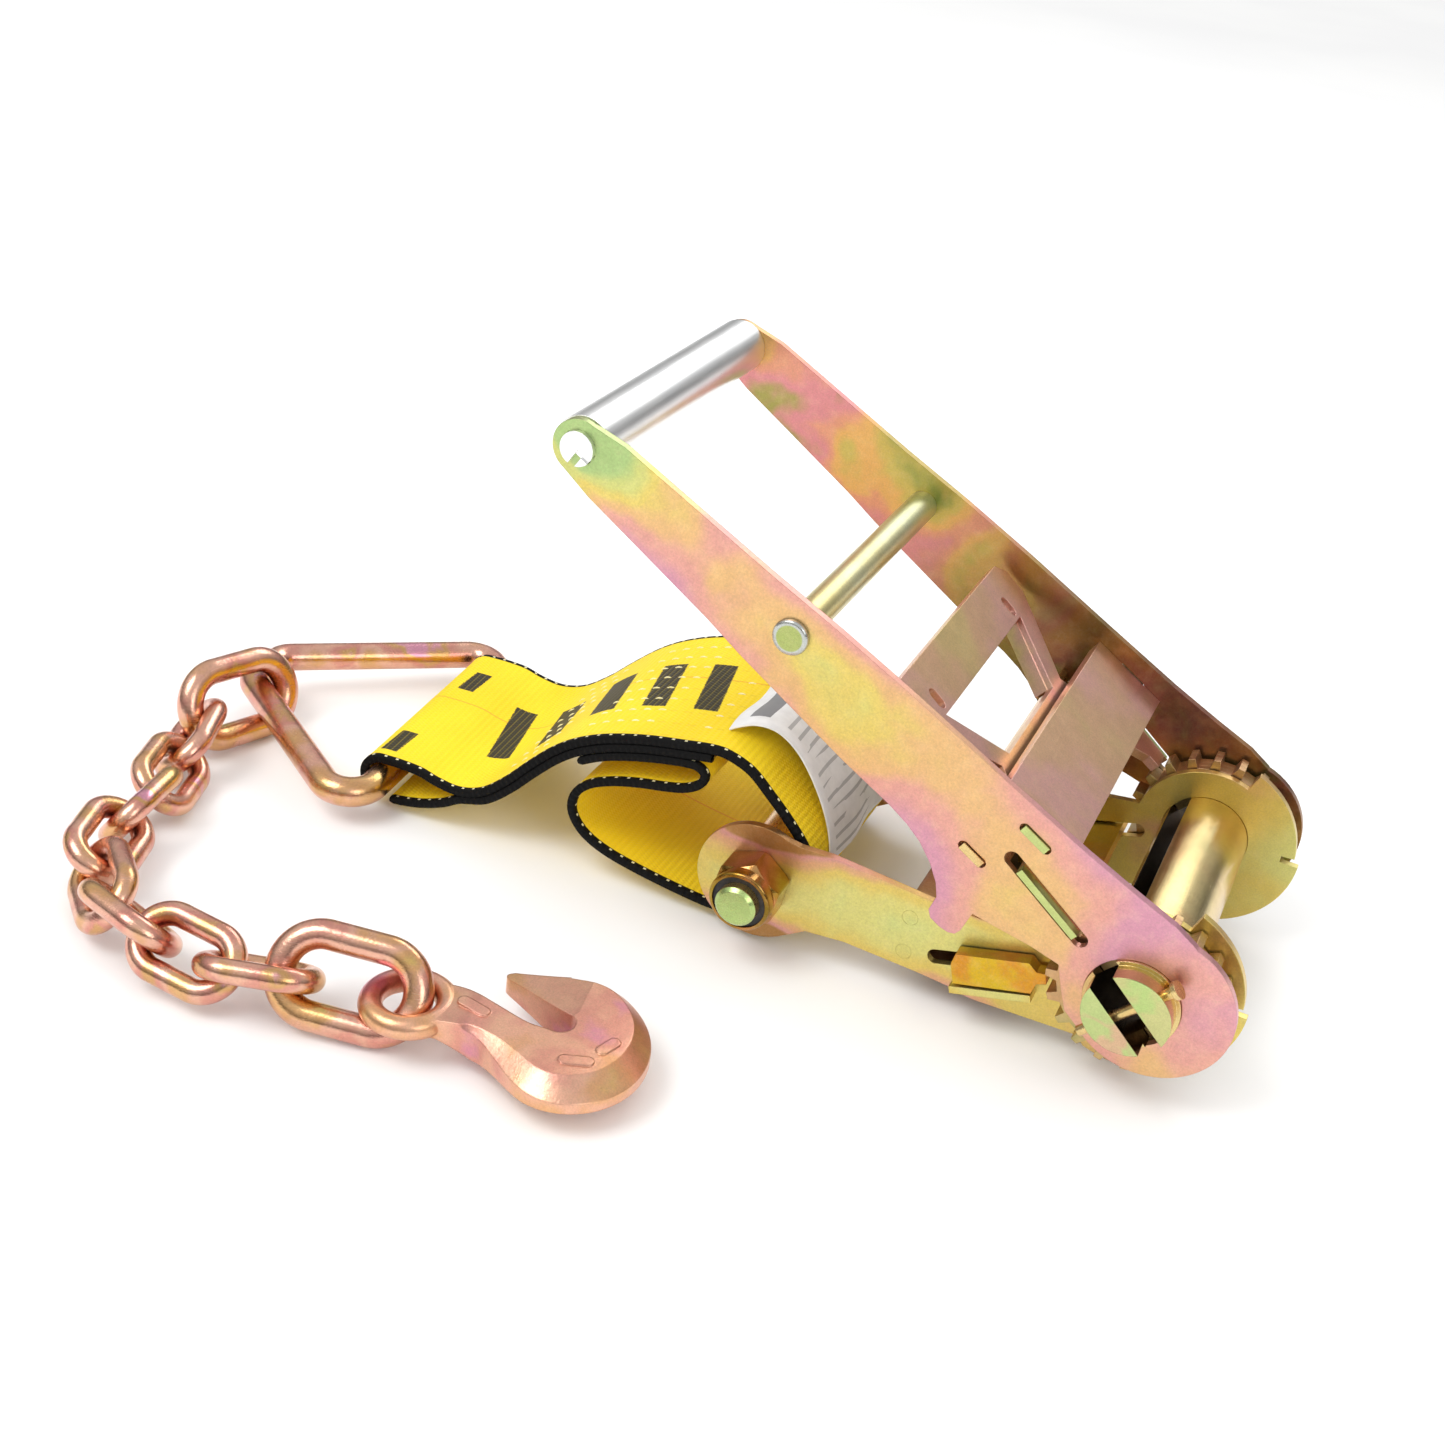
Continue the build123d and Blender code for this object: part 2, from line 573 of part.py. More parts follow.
def webbing():
    buckle_end = slab(strip(STACK, 2 * WEB_T) + strip(UNDER, 2 * WEB_T)
                      + strip(SLEEVE_LOOP, WEB_T), -WEB_HALF, WEB_HALF)
    # the bar's middle under the webbing's middle
    loop_x = RING_X + (STRAP_SHIFT - RING_Y) * RING_BAR_DIR.X
    loop_r = RING_R + RING_GAP + WEB_T / 2
    turn = []
    for angle in range(80, 281, 20):
        x, z = polar(loop_r, angle)
        turn.append((loop_x + x, RING_Z + z))
    sketch = strip(OVER_RING + turn + BELOW_RING, WEB_T) + strip(DOUBLE, 2 * WEB_T)
    # this end runs askew, along the ring's bar
    profile = (Plane.XZ * sketch).moved(Location(RING_BAR_DIR * (STRAP_SHIFT - WEB_HALF)))
    return buckle_end + extrude(profile, amount=2 * WEB_HALF, dir=RING_BAR_DIR)


save("webbing", webbing())


# ---------------------------------------------------------------- delta ring
def delta_ring():
    rise = (RING_NOSE_Z - RING_Z) / RING_LEN
    to_nose = Vector(-YAW_COS, -YAW_SIN, rise).normalized()
    plane = Plane(origin=(RING_X, RING_Y, RING_Z), x_dir=to_nose,
                  z_dir=to_nose.cross(RING_BAR_DIR).normalized())
    outline = poly([(0, -RING_HALF), (0, RING_HALF),
                    (RING_LEN, RING_NOSE_HALF), (RING_LEN, -RING_NOSE_HALF)])
    outline = fillet(outline.vertices().sort_by(Axis.X)[:2], RING_BEND)
    outline = fillet(outline.vertices().sort_by(Axis.X)[-2:], NOSE_BEND)
    path = (plane * outline).faces()[0].outer_wire()
    start = path.edges()[0]
    bar = Plane(origin=start @ 0, z_dir=start % 0) * Circle(RING_R)
    return sweep(bar, path=path, transition=Transition.ROUND)


save("delta_ring", delta_ring())

# ---------------------------------------------------------------- chain
LINK_SIZES = {            # rod diameter, inside length, inside width
    "small": (8.7, 28.0, 12.2),   # 5/16 in transport chain
    "big": (10.6, 38.0, 17.4),    # the two coupling links
}
# kind, centre x, y, z, then heading, pitch and roll in degrees. The links hang in one
# another with a few tenths of a millimetre to spare.
CHAIN = [
    ("big", -384.976, -41.425, -21.445, -105.584, 4.241, -70.267),
    ("small", -386.380, -71.661, -26.253, -69.924, -4.941, 42.007),
    ("small", -376.393, -97.266, -26.831, -71.465, 2.317, -41.470),
    ("small", -369.509, -123.840, -25.109, -80.106, 1.056, 51.775),
    ("small", -362.564, -150.401, -23.696, -71.275, 1.301, -32.961),
    ("small", -347.512, -172.593, -25.257, -42.068, 2.430, 47.881),
    ("small", -324.505, -186.305, -22.377, -16.054, -1.696, -46.083),
    ("small", -298.059, -189.936, -24.310, -0.726, -6.075, 41.563),
    ("small", -271.558, -185.709, -24.505, 18.904, -1.142, -31.226),
    ("big", -241.920, -176.236, -23.053, 13.258, -3.702, 55.073),
]


def unit(heading, pitch=0.0):
    flat, rise = polar(1, pitch)
    x, y = polar(flat, heading)
    return Vector(x, y, rise)


def width_dir(axis, roll):
    """The direction of a link's width, rolled about its long axis from the horizontal."""
    level = Vector(-axis.Y, axis.X, 0).normalized()
    level_part, up_part = polar(1, roll)
    return level * level_part + axis.cross(level) * up_part


def chain_link(kind, x, y, z, heading, pitch, roll):
    diameter, inner, width = LINK_SIZES[kind]
    radius = diameter / 2
    rod_y = width / 2 + radius
    straight = inner - width
    leg = Rot(0, 90, 0) * Cylinder(radius, straight)
    # from +X round to -X on the +Y side
    bend = revolve(Plane.XZ * Pos(rod_y, 0) * Circle(radius), Axis.Z, 180)
    body = (Pos(0, rod_y, 0) * leg + Pos(0, -rod_y, 0) * leg
            + Pos(straight / 2, 0, 0) * Rot(0, 0, -90) * bend
            + Pos(-straight / 2, 0, 0) * Rot(0, 0, 90) * bend)
    axis = unit(heading, pitch)
    normal = axis.cross(width_dir(axis, roll))
    return Plane(origin=(x, y, z), x_dir=axis, z_dir=normal).location * body


for number, placing in enumerate(CHAIN, start=1):
    save(f"chain_link_{number:02d}", chain_link(*placing))

# ---------------------------------------------------------------- grab hook
HOOK_T = 15.4
HOOK_HALF_T = HOOK_T / 2
HOOK_DIR = unit(11.0)
EYE_MAJOR, EYE_MINOR = 13.0, 4.2
EYE_X, EYE_Y, EYE_Z = -220.656, -172.250, -25.4
THROAT = (51.5, 3.6)
THROAT_R = 5.6
# the hook lies flat: this plane is at half its thickness, with x from the eye to the bend
HOOK_PLANE = Plane(origin=(EYE_X, EYE_Y, GROUND + HOOK_HALF_T + 1.0), x_dir=HOOK_DIR,
                   z_dir=(0, 0, 1))
# an upright plane along the hook, local y up
SIDE_PLANE = Plane(origin=HOOK_PLANE.origin, x_dir=HOOK_DIR,
                   z_dir=HOOK_DIR.cross(Vector(0, 0, 1)))
# the outline's curves, end to end, in the hook's plane
THROAT_SIDE = [(11.0, 10.2), (16.0, 9.9), (25.0, 6.6), (34.0, 2.6), (43.0, -0.9), (48.9, -1.35)]
PRONG = [(54.3, 8.45), (47.5, 12.2), (38.0, 18.0), (27.6, 24.2)]
TIP = [(27.6, 24.2), (25.8, 26.4), (28.4, 28.4)]
BACK = [
    (28.4, 28.4), (36.5, 28.6), (48.0, 29.4), (58.0, 30.0), (66.5, 28.0), (74.0, 22.6),
    (80.0, 14.6), (83.2, 5.6), (83.6, -4.0), (81.0, -14.0), (75.0, -22.6), (66.3, -28.4),
    (57.0, -30.0), (48.5, -27.6), (39.2, -20.6), (31.5, -14.0), (25.6, -10.6), (19.3, -9.7),
    (11.0, -10.2),
]
# bevel round the back: point on the outline, how far in it reaches there, and the height
# from mid-thickness at which it starts on the side
BEVEL = [
    ((21.5, -9.9), 0.8, 6.4), ((28.0, -11.8), 2.6, 5.0), ((33.6, -15.7), 4.4, 4.0),
    ((40.6, -21.7), 6.0, 3.0), ((48.9, -27.8), 7.0, 2.4), ((57.2, -30.0), 7.6, 2.0),
    ((66.4, -28.35), 8.0, 2.0), ((75.1, -22.5), 8.0, 2.0), ((81.0, -14.0), 8.0, 2.0),
    ((83.6, -4.2), 7.6, 2.0), ((83.2, 5.6), 6.8, 2.2), ((80.0, 14.6), 5.8, 2.8),
    ((74.0, 22.6), 4.6, 3.6), ((66.5, 28.0), 3.2, 4.6), ((58.0, 30.0), 2.0, 5.4),
    ((48.0, 29.4), 1.2, 6.0),
]
BEVEL_OUTSIDE, BEVEL_ABOVE = 3.0, 2.0    # how far the cutter stands clear of the hook
PRONG_REGION = [          # in the hook's plane
    (10, 45), (10, 21), (30, 12.6), (45, 6.6), (52.5, 3.8), (57.0, 12.0), (60.0, 45),
]
PRONG_WEDGE = [(10, 12), (10, 0.9), (27, 3.4), (57, 7.8), (57, 12)]   # along, height
SIDE_PROFILE = [          # along, height
    (-5.0, -0.7), (13.0, -0.7), (21.0, -4.0), (33.0, -8.0), (95.0, -8.0), (95.0, 8.0),
    (27.0, 8.0), (13.0, 6.9), (-5.0, 6.9),
]
PADS = [                  # x, y, turn in degrees, length, width
    (22.5, 0.6, -22, 13.0, 4.6), (62.5, -14.0, 12, 12.0, 4.4), (70.5, -3.5, 62, 10.0, 4.4),
]
PAD_RISE = 0.6


def hook_face():
    curves = [Spline(*THROAT_SIDE), Line(THROAT_SIDE[-1], PRONG[0]), Spline(*PRONG),
              Spline(*TIP), Spline(*BACK), Line(BACK[-1], THROAT_SIDE[0])]
    return make_face(Wire([edge for curve in curves for edge in curve.edges()]))


def bevel_cutter(up):
    """What the bevel takes away above (1) or below (-1): a loft through triangles."""
    sections = []
    for i, (point, reach, start) in enumerate(BEVEL):
        before, after = BEVEL[max(0, i - 1)][0], BEVEL[min(len(BEVEL) - 1, i + 1)][0]
        run = Vector(after[0] - before[0], after[1] - before[1], 0).normalized()
        out = Vector(run.Y, -run.X, 0)             # away from the hook
        slope = (HOOK_HALF_T - start) / reach      # rise for each millimetre inwards
        low = Vector(0, 0, (start - slope * BEVEL_OUTSIDE) * up)
        high = Vector(0, 0, (HOOK_HALF_T + BEVEL_ABOVE) * up)
        outer = Vector(*point, 0) + out * BEVEL_OUTSIDE
        inner = Vector(*point, 0) - out * (reach + BEVEL_ABOVE / slope)
        triangle = poly([outer + low, inner + high, outer + high])
        sections.append(HOOK_PLANE.location * triangle)
    return Solid.make_loft([section.faces()[0].outer_wire() for section in sections])


def grab_hook():
    hook = extrude(HOOK_PLANE.offset(-HOOK_HALF_T) * hook_face(), amount=HOOK_T)
    for up in (1, -1):
        bevelled = hook - bevel_cutter(up)
        # guards against a lofted cut that fails: the bevel is kept only if it leaves one
        # sound solid of a sensible volume
        if (bevelled.is_valid and len(bevelled.solids()) == 1
                and 0.6 * hook.volume < bevelled.volume < hook.volume):
            hook = bevelled
    # the prong thins towards its tip
    region = poly(PRONG_REGION)
    for up in (1, -1):
        wedge = SIDE_PLANE * poly([(x, z * up) for x, z in PRONG_WEDGE])
        hook = hook - (extrude(wedge, amount=60, both=True)
                       & extrude(HOOK_PLANE * region, amount=30, both=True))
    # the neck thins, mostly from below, towards the eye
    hook = hook & extrude(SIDE_PLANE * poly(SIDE_PROFILE), amount=60, both=True)
    hook = hook - HOOK_PLANE.location * Pos(*THROAT, 0) * Cylinder(THROAT_R, 40)
    hook = hook - HOOK_PLANE.location * Cylinder(EYE_MAJOR, 40)
    eye_plane = Plane(origin=(EYE_X, EYE_Y, EYE_Z), x_dir=HOOK_DIR, z_dir=(0, 0, 1))
    hook = hook + eye_plane.location * Torus(EYE_MAJOR, EYE_MINOR)
    # raised pads on the upper face, for the marks left by the forging die
    pad_plane = HOOK_PLANE.offset(HOOK_HALF_T - PAD_RISE)
    for x, y, turn, length, width in PADS:
        pad = pad_plane * (Pos(x, y) * Rot(0, 0, turn) * SlotOverall(length, width))
        hook = hook + extrude(pad, amount=2 * PAD_RISE)
    return hook


save("grab_hook", grab_hook())
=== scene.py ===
"""Ratchet strap buckle: zinc-plated metalwork with yellow webbing sewn on.

The buckle's width, and so the webbing's, lies along y, with the near side at -y. The handle
plates rise from the origin towards -x and +z. The webbing leaves the anchor bolt towards -x
and ends in a loop round the ring bar. Lengths are metres, except in names ending in _MM.
"""
import bpy
import math
import random
from mathutils import Vector, Matrix


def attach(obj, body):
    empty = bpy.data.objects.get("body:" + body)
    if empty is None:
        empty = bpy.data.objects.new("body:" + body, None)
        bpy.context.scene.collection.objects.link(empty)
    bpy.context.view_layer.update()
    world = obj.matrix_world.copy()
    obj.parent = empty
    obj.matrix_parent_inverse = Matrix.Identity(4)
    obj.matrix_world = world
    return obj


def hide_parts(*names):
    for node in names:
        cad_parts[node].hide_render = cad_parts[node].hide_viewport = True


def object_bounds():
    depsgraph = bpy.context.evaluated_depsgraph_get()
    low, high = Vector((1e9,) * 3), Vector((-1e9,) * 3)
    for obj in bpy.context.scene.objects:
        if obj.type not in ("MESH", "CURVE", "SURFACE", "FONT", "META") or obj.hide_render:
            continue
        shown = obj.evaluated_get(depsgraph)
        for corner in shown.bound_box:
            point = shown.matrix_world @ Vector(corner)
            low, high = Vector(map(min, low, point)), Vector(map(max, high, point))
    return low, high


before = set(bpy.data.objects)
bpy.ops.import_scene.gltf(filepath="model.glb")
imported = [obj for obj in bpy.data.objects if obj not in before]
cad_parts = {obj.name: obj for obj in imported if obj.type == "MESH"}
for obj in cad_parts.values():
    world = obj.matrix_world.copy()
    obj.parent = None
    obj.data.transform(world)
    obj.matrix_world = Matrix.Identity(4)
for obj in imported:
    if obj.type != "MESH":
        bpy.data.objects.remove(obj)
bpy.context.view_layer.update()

random.seed(7)  # fixes Python's random state for the whole run
scene = bpy.context.scene

HANDLE_TILT = math.radians(32.4)  # of the handle's length, from -x towards +z
TILT_SIN, TILT_COS = math.sin(HANDLE_TILT), math.cos(HANDLE_TILT)

WEB_HALF = 0.0508  # half the webbing's width
WEB_THICK_MM = 3.3
WEB_THICK = WEB_THICK_MM / 1000
SEWN_START = -0.262  # x where the sewing begins, at the ring end
STITCH_ROW = -0.0045  # y of one row, from the webbing's middle
STITCH_ROW_PITCH = 0.0105
STITCH_LENGTH = 0.0042
STITCH_GAP = 0.0020
STITCH_RADIUS = 0.00042


# ------------------------------------------------------------------ node helpers
def display(*rgb):
    """A linear colour from 0 to 255 display values."""
    return tuple(((c / 255 + 0.055) / 1.055) ** 2.4 if c > 10 else c / 3295 for c in rgb)


def palette(*rows):
    """Ramp stops from rows of position, red, green, blue in display values."""
    return [(position, display(*rgb)) for position, *rgb in rows]


class Net:
    """Builds the node tree of a material or world."""

    def __init__(self, owner, output):
        owner.use_nodes = True
        self.tree = owner.node_tree
        self.tree.nodes.clear()
        self.output = self.new(output)

    def new(self, kind, **props):
        node = self.tree.nodes.new(kind)
        for name, value in props.items():
            setattr(node, name, value)
        return node

    def link(self, source, target):
        self.tree.links.new(source, target)

    def feed(self, target, value):
        """Links a socket, or sets a number or a colour."""
        if isinstance(value, bpy.types.NodeSocket):
            self.link(value, target)
        else:
            target.default_value = (*value, 1) if isinstance(value, tuple) else value

    def math(self, operation, a, b=0.0, c=0.0, clamp=False):
        node = self.new("ShaderNodeMath", operation=operation, use_clamp=clamp)
        for target, value in zip(node.inputs, (a, b, c)):
            self.feed(target, value)
        return node.outputs[0]

    def add(self, a, b, clamp=False):
        return self.math("ADD", a, b, clamp=clamp)

    def sub(self, a, b, clamp=False):
        return self.math("SUBTRACT", a, b, clamp=clamp)

    def mul(self, a, b, clamp=False):
        return self.math("MULTIPLY", a, b, clamp=clamp)

    def muladd(self, value, factor, offset):
        return self.math("MULTIPLY_ADD", value, factor, offset)

    def size_of(self, value):
        return self.math("ABSOLUTE", value)

    def above(self, value, limit):
        return self.math("GREATER_THAN", value, limit)

    def below(self, value, limit):
        return self.math("LESS_THAN", value, limit)

    def between(self, value, low, high):
        return self.mul(self.above(value, low), self.below(value, high))

    def fade(self, value, start, end):
        """0 at start, 1 at end, straight between."""
        return self.mul(self.sub(value, start), 1.0 / (end - start), clamp=True)

    def excess(self, value, level, strength):
        """How far value is over level, times strength."""
        return self.mul(self.sub(value, level, clamp=True), strength)

    def length(self, a, b):
        return self.math("SQRT", self.add(self.mul(a, a), self.mul(b, b)))

    def wave(self, value, pitch):
        return self.math("SINE", self.mul(value, 2 * math.pi / pitch))

    def coords(self):
        return self.new("ShaderNodeTexCoord").outputs["Object"]

    def cloth_uv(self):
        return self.new("ShaderNodeUVMap", uv_map="cloth").outputs[0]

    def split(self, vector):
        node = self.new("ShaderNodeSeparateXYZ")
        self.link(vector, node.inputs[0])
        return node.outputs

    def mapping(self, vector, scale=(1, 1, 1), rotation=(0, 0, 0), location=(0, 0, 0)):
        node = self.new("ShaderNodeMapping")
        self.link(vector, node.inputs["Vector"])
        node.inputs["Scale"].default_value = scale
        node.inputs["Rotation"].default_value = rotation
        node.inputs["Location"].default_value = location
        return node.outputs[0]

    def noise(self, vector, scale=1.0, detail=2.0, rough=0.5, distortion=0.0):
        node = self.new("ShaderNodeTexNoise")
        self.link(vector, node.inputs["Vector"])
        node.inputs["Scale"].default_value = scale
        node.inputs["Detail"].default_value = detail
        node.inputs["Roughness"].default_value = rough
        node.inputs["Distortion"].default_value = distortion
        return node.outputs["Fac"]

    def ramp(self, value, stops, mode="EASE"):
        node = self.new("ShaderNodeValToRGB")
        self.link(value, node.inputs[0])
        node.color_ramp.interpolation = mode
        elements = node.color_ramp.elements
        while len(elements) > 1:
            elements.remove(elements[-1])
        elements[0].position = stops[0][0]
        elements[0].color = (*stops[0][1], 1)
        for position, colour in stops[1:]:
            elements.new(position).color = (*colour, 1)
        return node.outputs[0]

    def two_tone(self, value, low, high):
        return self.ramp(value, [(0.3, low), (0.7, high)])

    def mix(self, factor, a, b, blend="MIX"):
        node = self.new("ShaderNodeMix", data_type="RGBA", blend_type=blend)
        for index, value in ((0, factor), (6, a), (7, b)):
            self.feed(node.inputs[index], value)
        return node.outputs[2]

    def bump(self, height, strength, distance, normal=None):
        node = self.new("ShaderNodeBump")
        node.inputs["Strength"].default_value = strength
        node.inputs["Distance"].default_value = distance
        self.link(height, node.inputs["Height"])
        if normal is not None:
            self.link(normal, node.inputs["Normal"])
        return node.outputs[0]

    def bevel(self, radius):
        node = self.new("ShaderNodeBevel", samples=6)
        node.inputs["Radius"].default_value = radius
        return node.outputs[0]


class MaterialNet(Net):
    """A material with one Principled shader."""

    def __init__(self, name):
        self.material = bpy.data.materials.new(name)
        super().__init__(self.material, "ShaderNodeOutputMaterial")
        self.shader = self.new("ShaderNodeBsdfPrincipled")
        self.link(self.shader.outputs[0], self.output.inputs[0])

    def finish(self, **inputs):
        """Feeds the shader's inputs, underscores standing for spaces."""
        for name, value in inputs.items():
            self.feed(self.shader.inputs[name.replace("_", " ")], value)
        return self.material


# ------------------------------------------------------------------ zinc: where the tints lie
# Each field gives a place on the tint ramp from two noises and, on some parts, from position.
def along_handle(net, x, z):
    return net.muladd(z, TILT_SIN, net.mul(x, -TILT_COS))


def weighted_sum(net, terms, offset):
    (value, weight), *rest = terms
    total = net.mul(value, weight)
    for value, weight in rest:
        total = net.muladd(value, weight, total)
    return net.add(total, offset, clamp=True)


def balanced(level, noises):
    """The offset that puts noises of mean 0.5 round a level."""
    return level - sum(weight for _, weight in noises) / 2


def soft_field(net, coords, big, mid):
    noises = [(big, 2.0), (mid, 0.3)]
    return weighted_sum(net, noises, balanced(0.55, noises))


def far_field(net, coords, big, mid):
    noises = [(big, 2.6), (mid, 0.35)]
    return weighted_sum(net, noises, balanced(0.52, noises))


def near_field(net, coords, big, mid):
    """Tints follow the tapering plate's edges and change at both ends."""
    x, _, z = net.split(coords)
    along = along_handle(net, x, z)
    across = net.muladd(z, TILT_COS, net.muladd(x, TILT_SIN, -0.0055))
    # half width: 11.5 mm at the 0.266 end, widening by 0.07 of the way back
    half_width = net.muladd(net.sub(0.266, along), 0.07, 0.0115)
    share = net.math("DIVIDE", net.size_of(across), half_width)
    edge = net.math("MINIMUM", net.mul(share, share), 1.3)
    noises = [(big, 1.9), (mid, 0.30)]
    terms = noises + [
        (edge, 0.30),
        (net.fade(along, start=0.115, end=0.060), 0.13),
        (net.fade(along, start=0.236, end=0.260), -0.66)]
    return weighted_sum(net, terms, balanced(0.53, noises))


def base_field(net, coords, big, mid):
    """Tints follow the arm's edges and a round patch at the anchor bolt."""
    x, _, z = net.split(coords)
    arm_middle, arm_half = -0.013, 0.0190  # in z
    share = net.mul(net.size_of(net.add(z, -arm_middle)), 1 / arm_half)
    edge = net.math("MINIMUM", net.mul(share, share), 1.2)
    arm = net.fade(x, start=-0.036, end=-0.058)
    bolt_x, bolt_z = -0.1435, -0.0125
    from_bolt = net.length(net.add(x, -bolt_x), net.add(z, -bolt_z))
    noises = [(big, 1.2), (mid, 0.22)]
    terms = [
        (net.mul(edge, arm), 0.70),
        (net.sub(1.0, arm), 0.42),
        (net.fade(from_bolt, start=0.034, end=0.022), 0.26)] + noises
    return weighted_sum(net, terms, balanced(0.10, noises))


# ------------------------------------------------------------------ zinc: local colouring and painted shade
def paint_far_plate_shade(net, colour, coords):
    """Painted shade: darkens the far plate towards the origin, with patchy olive and brown tints
    in the shade.
    """
    x, _, z = net.split(coords)
    patches = net.noise(net.coords(), scale=38.0, distortion=0.6)
    painted_shade = net.ramp(patches, palette((0.38, 96, 112, 44), (0.50, 112, 72, 48),
                                     (0.62, 150, 104, 66)))
    fade = net.fade(along_handle(net, x, z), start=0.160, end=0.085)
    return net.mix(net.mul(fade, 0.78), colour, painted_shade)


def lime_ears(net, colour, coords):
    """Lime on what lies outermost in y, on both sides."""
    _, y, _ = net.split(coords)
    outer = net.fade(net.size_of(y), start=0.0675, end=0.0685)
    return net.mix(net.mul(outer, 0.9), colour, display(186, 204, 126))


def end_tints_and_slot_shade(*face_colours):
    """Mandrel halves: patchy end faces, and painted shade darkening the slot walls between them.
    """
    end_y = 0.0797
    slot_half = 0.00478

    def recolour(net, colour, coords):
        x, y, z = net.split(coords)
        # distance from the slot's middle plane
        from_slot = net.size_of(net.muladd(z, -0.7206, net.mul(x, -0.6934)))
        ends = net.above(net.size_of(y), end_y)
        patches = net.noise(net.coords(), scale=95.0, distortion=0.5)
        faces = net.ramp(patches, list(zip((0.44, 0.58), face_colours)))
        colour = net.mix(ends, colour, faces)
        # painted shade: the walls of the slot between the halves are darkened where shade falls
        slot_shade = net.mul(net.below(from_slot, slot_half), net.sub(1.0, ends))
        return net.mix(slot_shade, colour, display(74, 54, 30))
    return recolour


def rivet_rim(net, colour, coords):
    """Plain green-gold rivet head with a grey rim."""
    x, _, z = net.split(coords)
    along, across = 0.1694, 0.007  # rivet centre in the handle's directions
    from_x = net.sub(x, -along * TILT_COS + across * TILT_SIN)
    from_z = net.sub(z, along * TILT_SIN + across * TILT_COS)
    colour = net.mix(1.0, colour, display(168, 180, 108))
    rim = net.fade(net.length(from_x, from_z), start=0.0045, end=0.0050)
    return net.mix(rim, colour, display(190, 194, 190))


def bolt_end(net, colour, coords):
    """Pale green on the bolt's near end."""
    _, y, _ = net.split(coords)
    return net.mix(net.below(y, -0.0765), colour, display(182, 206, 130))


# ------------------------------------------------------------------ zinc: the material
def zinc(name, tints, seed, scale, rough=(0.22, 0.38), grain=0.0, edge=0.0004,
         field=soft_field, recolour=None, metal=0.94, marks=0.5, rim=0.45):
    """Chromated zinc: slow rainbow patches, rolling marks and fine scratches.

    seed moves the noises, scale sets the patches, rough is a roughness range, grain the
    depth of pitting, edge the rounding radius, marks the brown specks and rim the pink
    seen at grazing angles.
    """
    net = MaterialNet(name)
    coords = net.coords()
    moved = net.mapping(coords, location=(seed * 0.37, seed * 0.11, seed * 0.23))
    big = net.noise(moved, scale=scale, detail=1.2, rough=0.45, distortion=0.35)
    mid = net.noise(moved, scale=scale * 4.3, distortion=0.3)
    colour = net.ramp(field(net, coords, big, mid), tints)
    grazing = net.new("ShaderNodeLayerWeight")
    grazing.inputs[0].default_value = 0.30
    colour = net.mix(net.mul(grazing.outputs["Facing"], rim), colour, display(226, 168, 160))
    if recolour:
        colour = recolour(net, colour, coords)

    specks = net.noise(moved, scale=900.0, rough=0.6)
    colour = net.mix(net.excess(specks, level=0.45, strength=marks), colour, (0.42, 0.33, 0.22))
    cloud = net.noise(moved, scale=210.0, detail=3.0, rough=0.6)
    colour = net.mix(net.excess(cloud, level=0.5, strength=0.55), colour, display(214, 196, 150))
    # brightness: a base level varied by cloud and fine dust
    dust = net.noise(moved, scale=1500.0, rough=0.7)
    level = net.muladd(dust, 0.42, net.muladd(cloud, 0.22, 0.66))
    grey = net.new("ShaderNodeCombineXYZ")
    for channel in grey.inputs:
        net.link(level, channel)
    colour = net.mix(1.0, colour, grey.outputs[0], blend="MULTIPLY")

    marks_z = net.mapping(moved, scale=(60, 60, 2400), rotation=(0.0, 0.6, 0.3))
    marks_x = net.mapping(moved, scale=(2200, 70, 70), rotation=(0.0, 0.57, 0.0))
    scratch_z = net.noise(marks_z, rough=0.6)
    scratch_x = net.noise(marks_x, rough=0.6)
    roughness = net.muladd(mid, rough[1] - rough[0], rough[0])
    roughness = net.muladd(scratch_z, 0.10, roughness)
    height = net.add(net.mul(scratch_z, 0.5), net.mul(scratch_x, 0.5))
    normal = net.bump(height, strength=0.10, distance=0.0004, normal=net.bevel(edge))
    if grain:
        pits = net.noise(moved, scale=620.0, detail=4.0, rough=0.65)
        normal = net.bump(pits, strength=grain, distance=0.0010, normal=normal)
    return net.finish(Base_Color=colour, Metallic=metal, Roughness=roughness, Normal=normal,
                      Specular_IOR_Level=0.6)


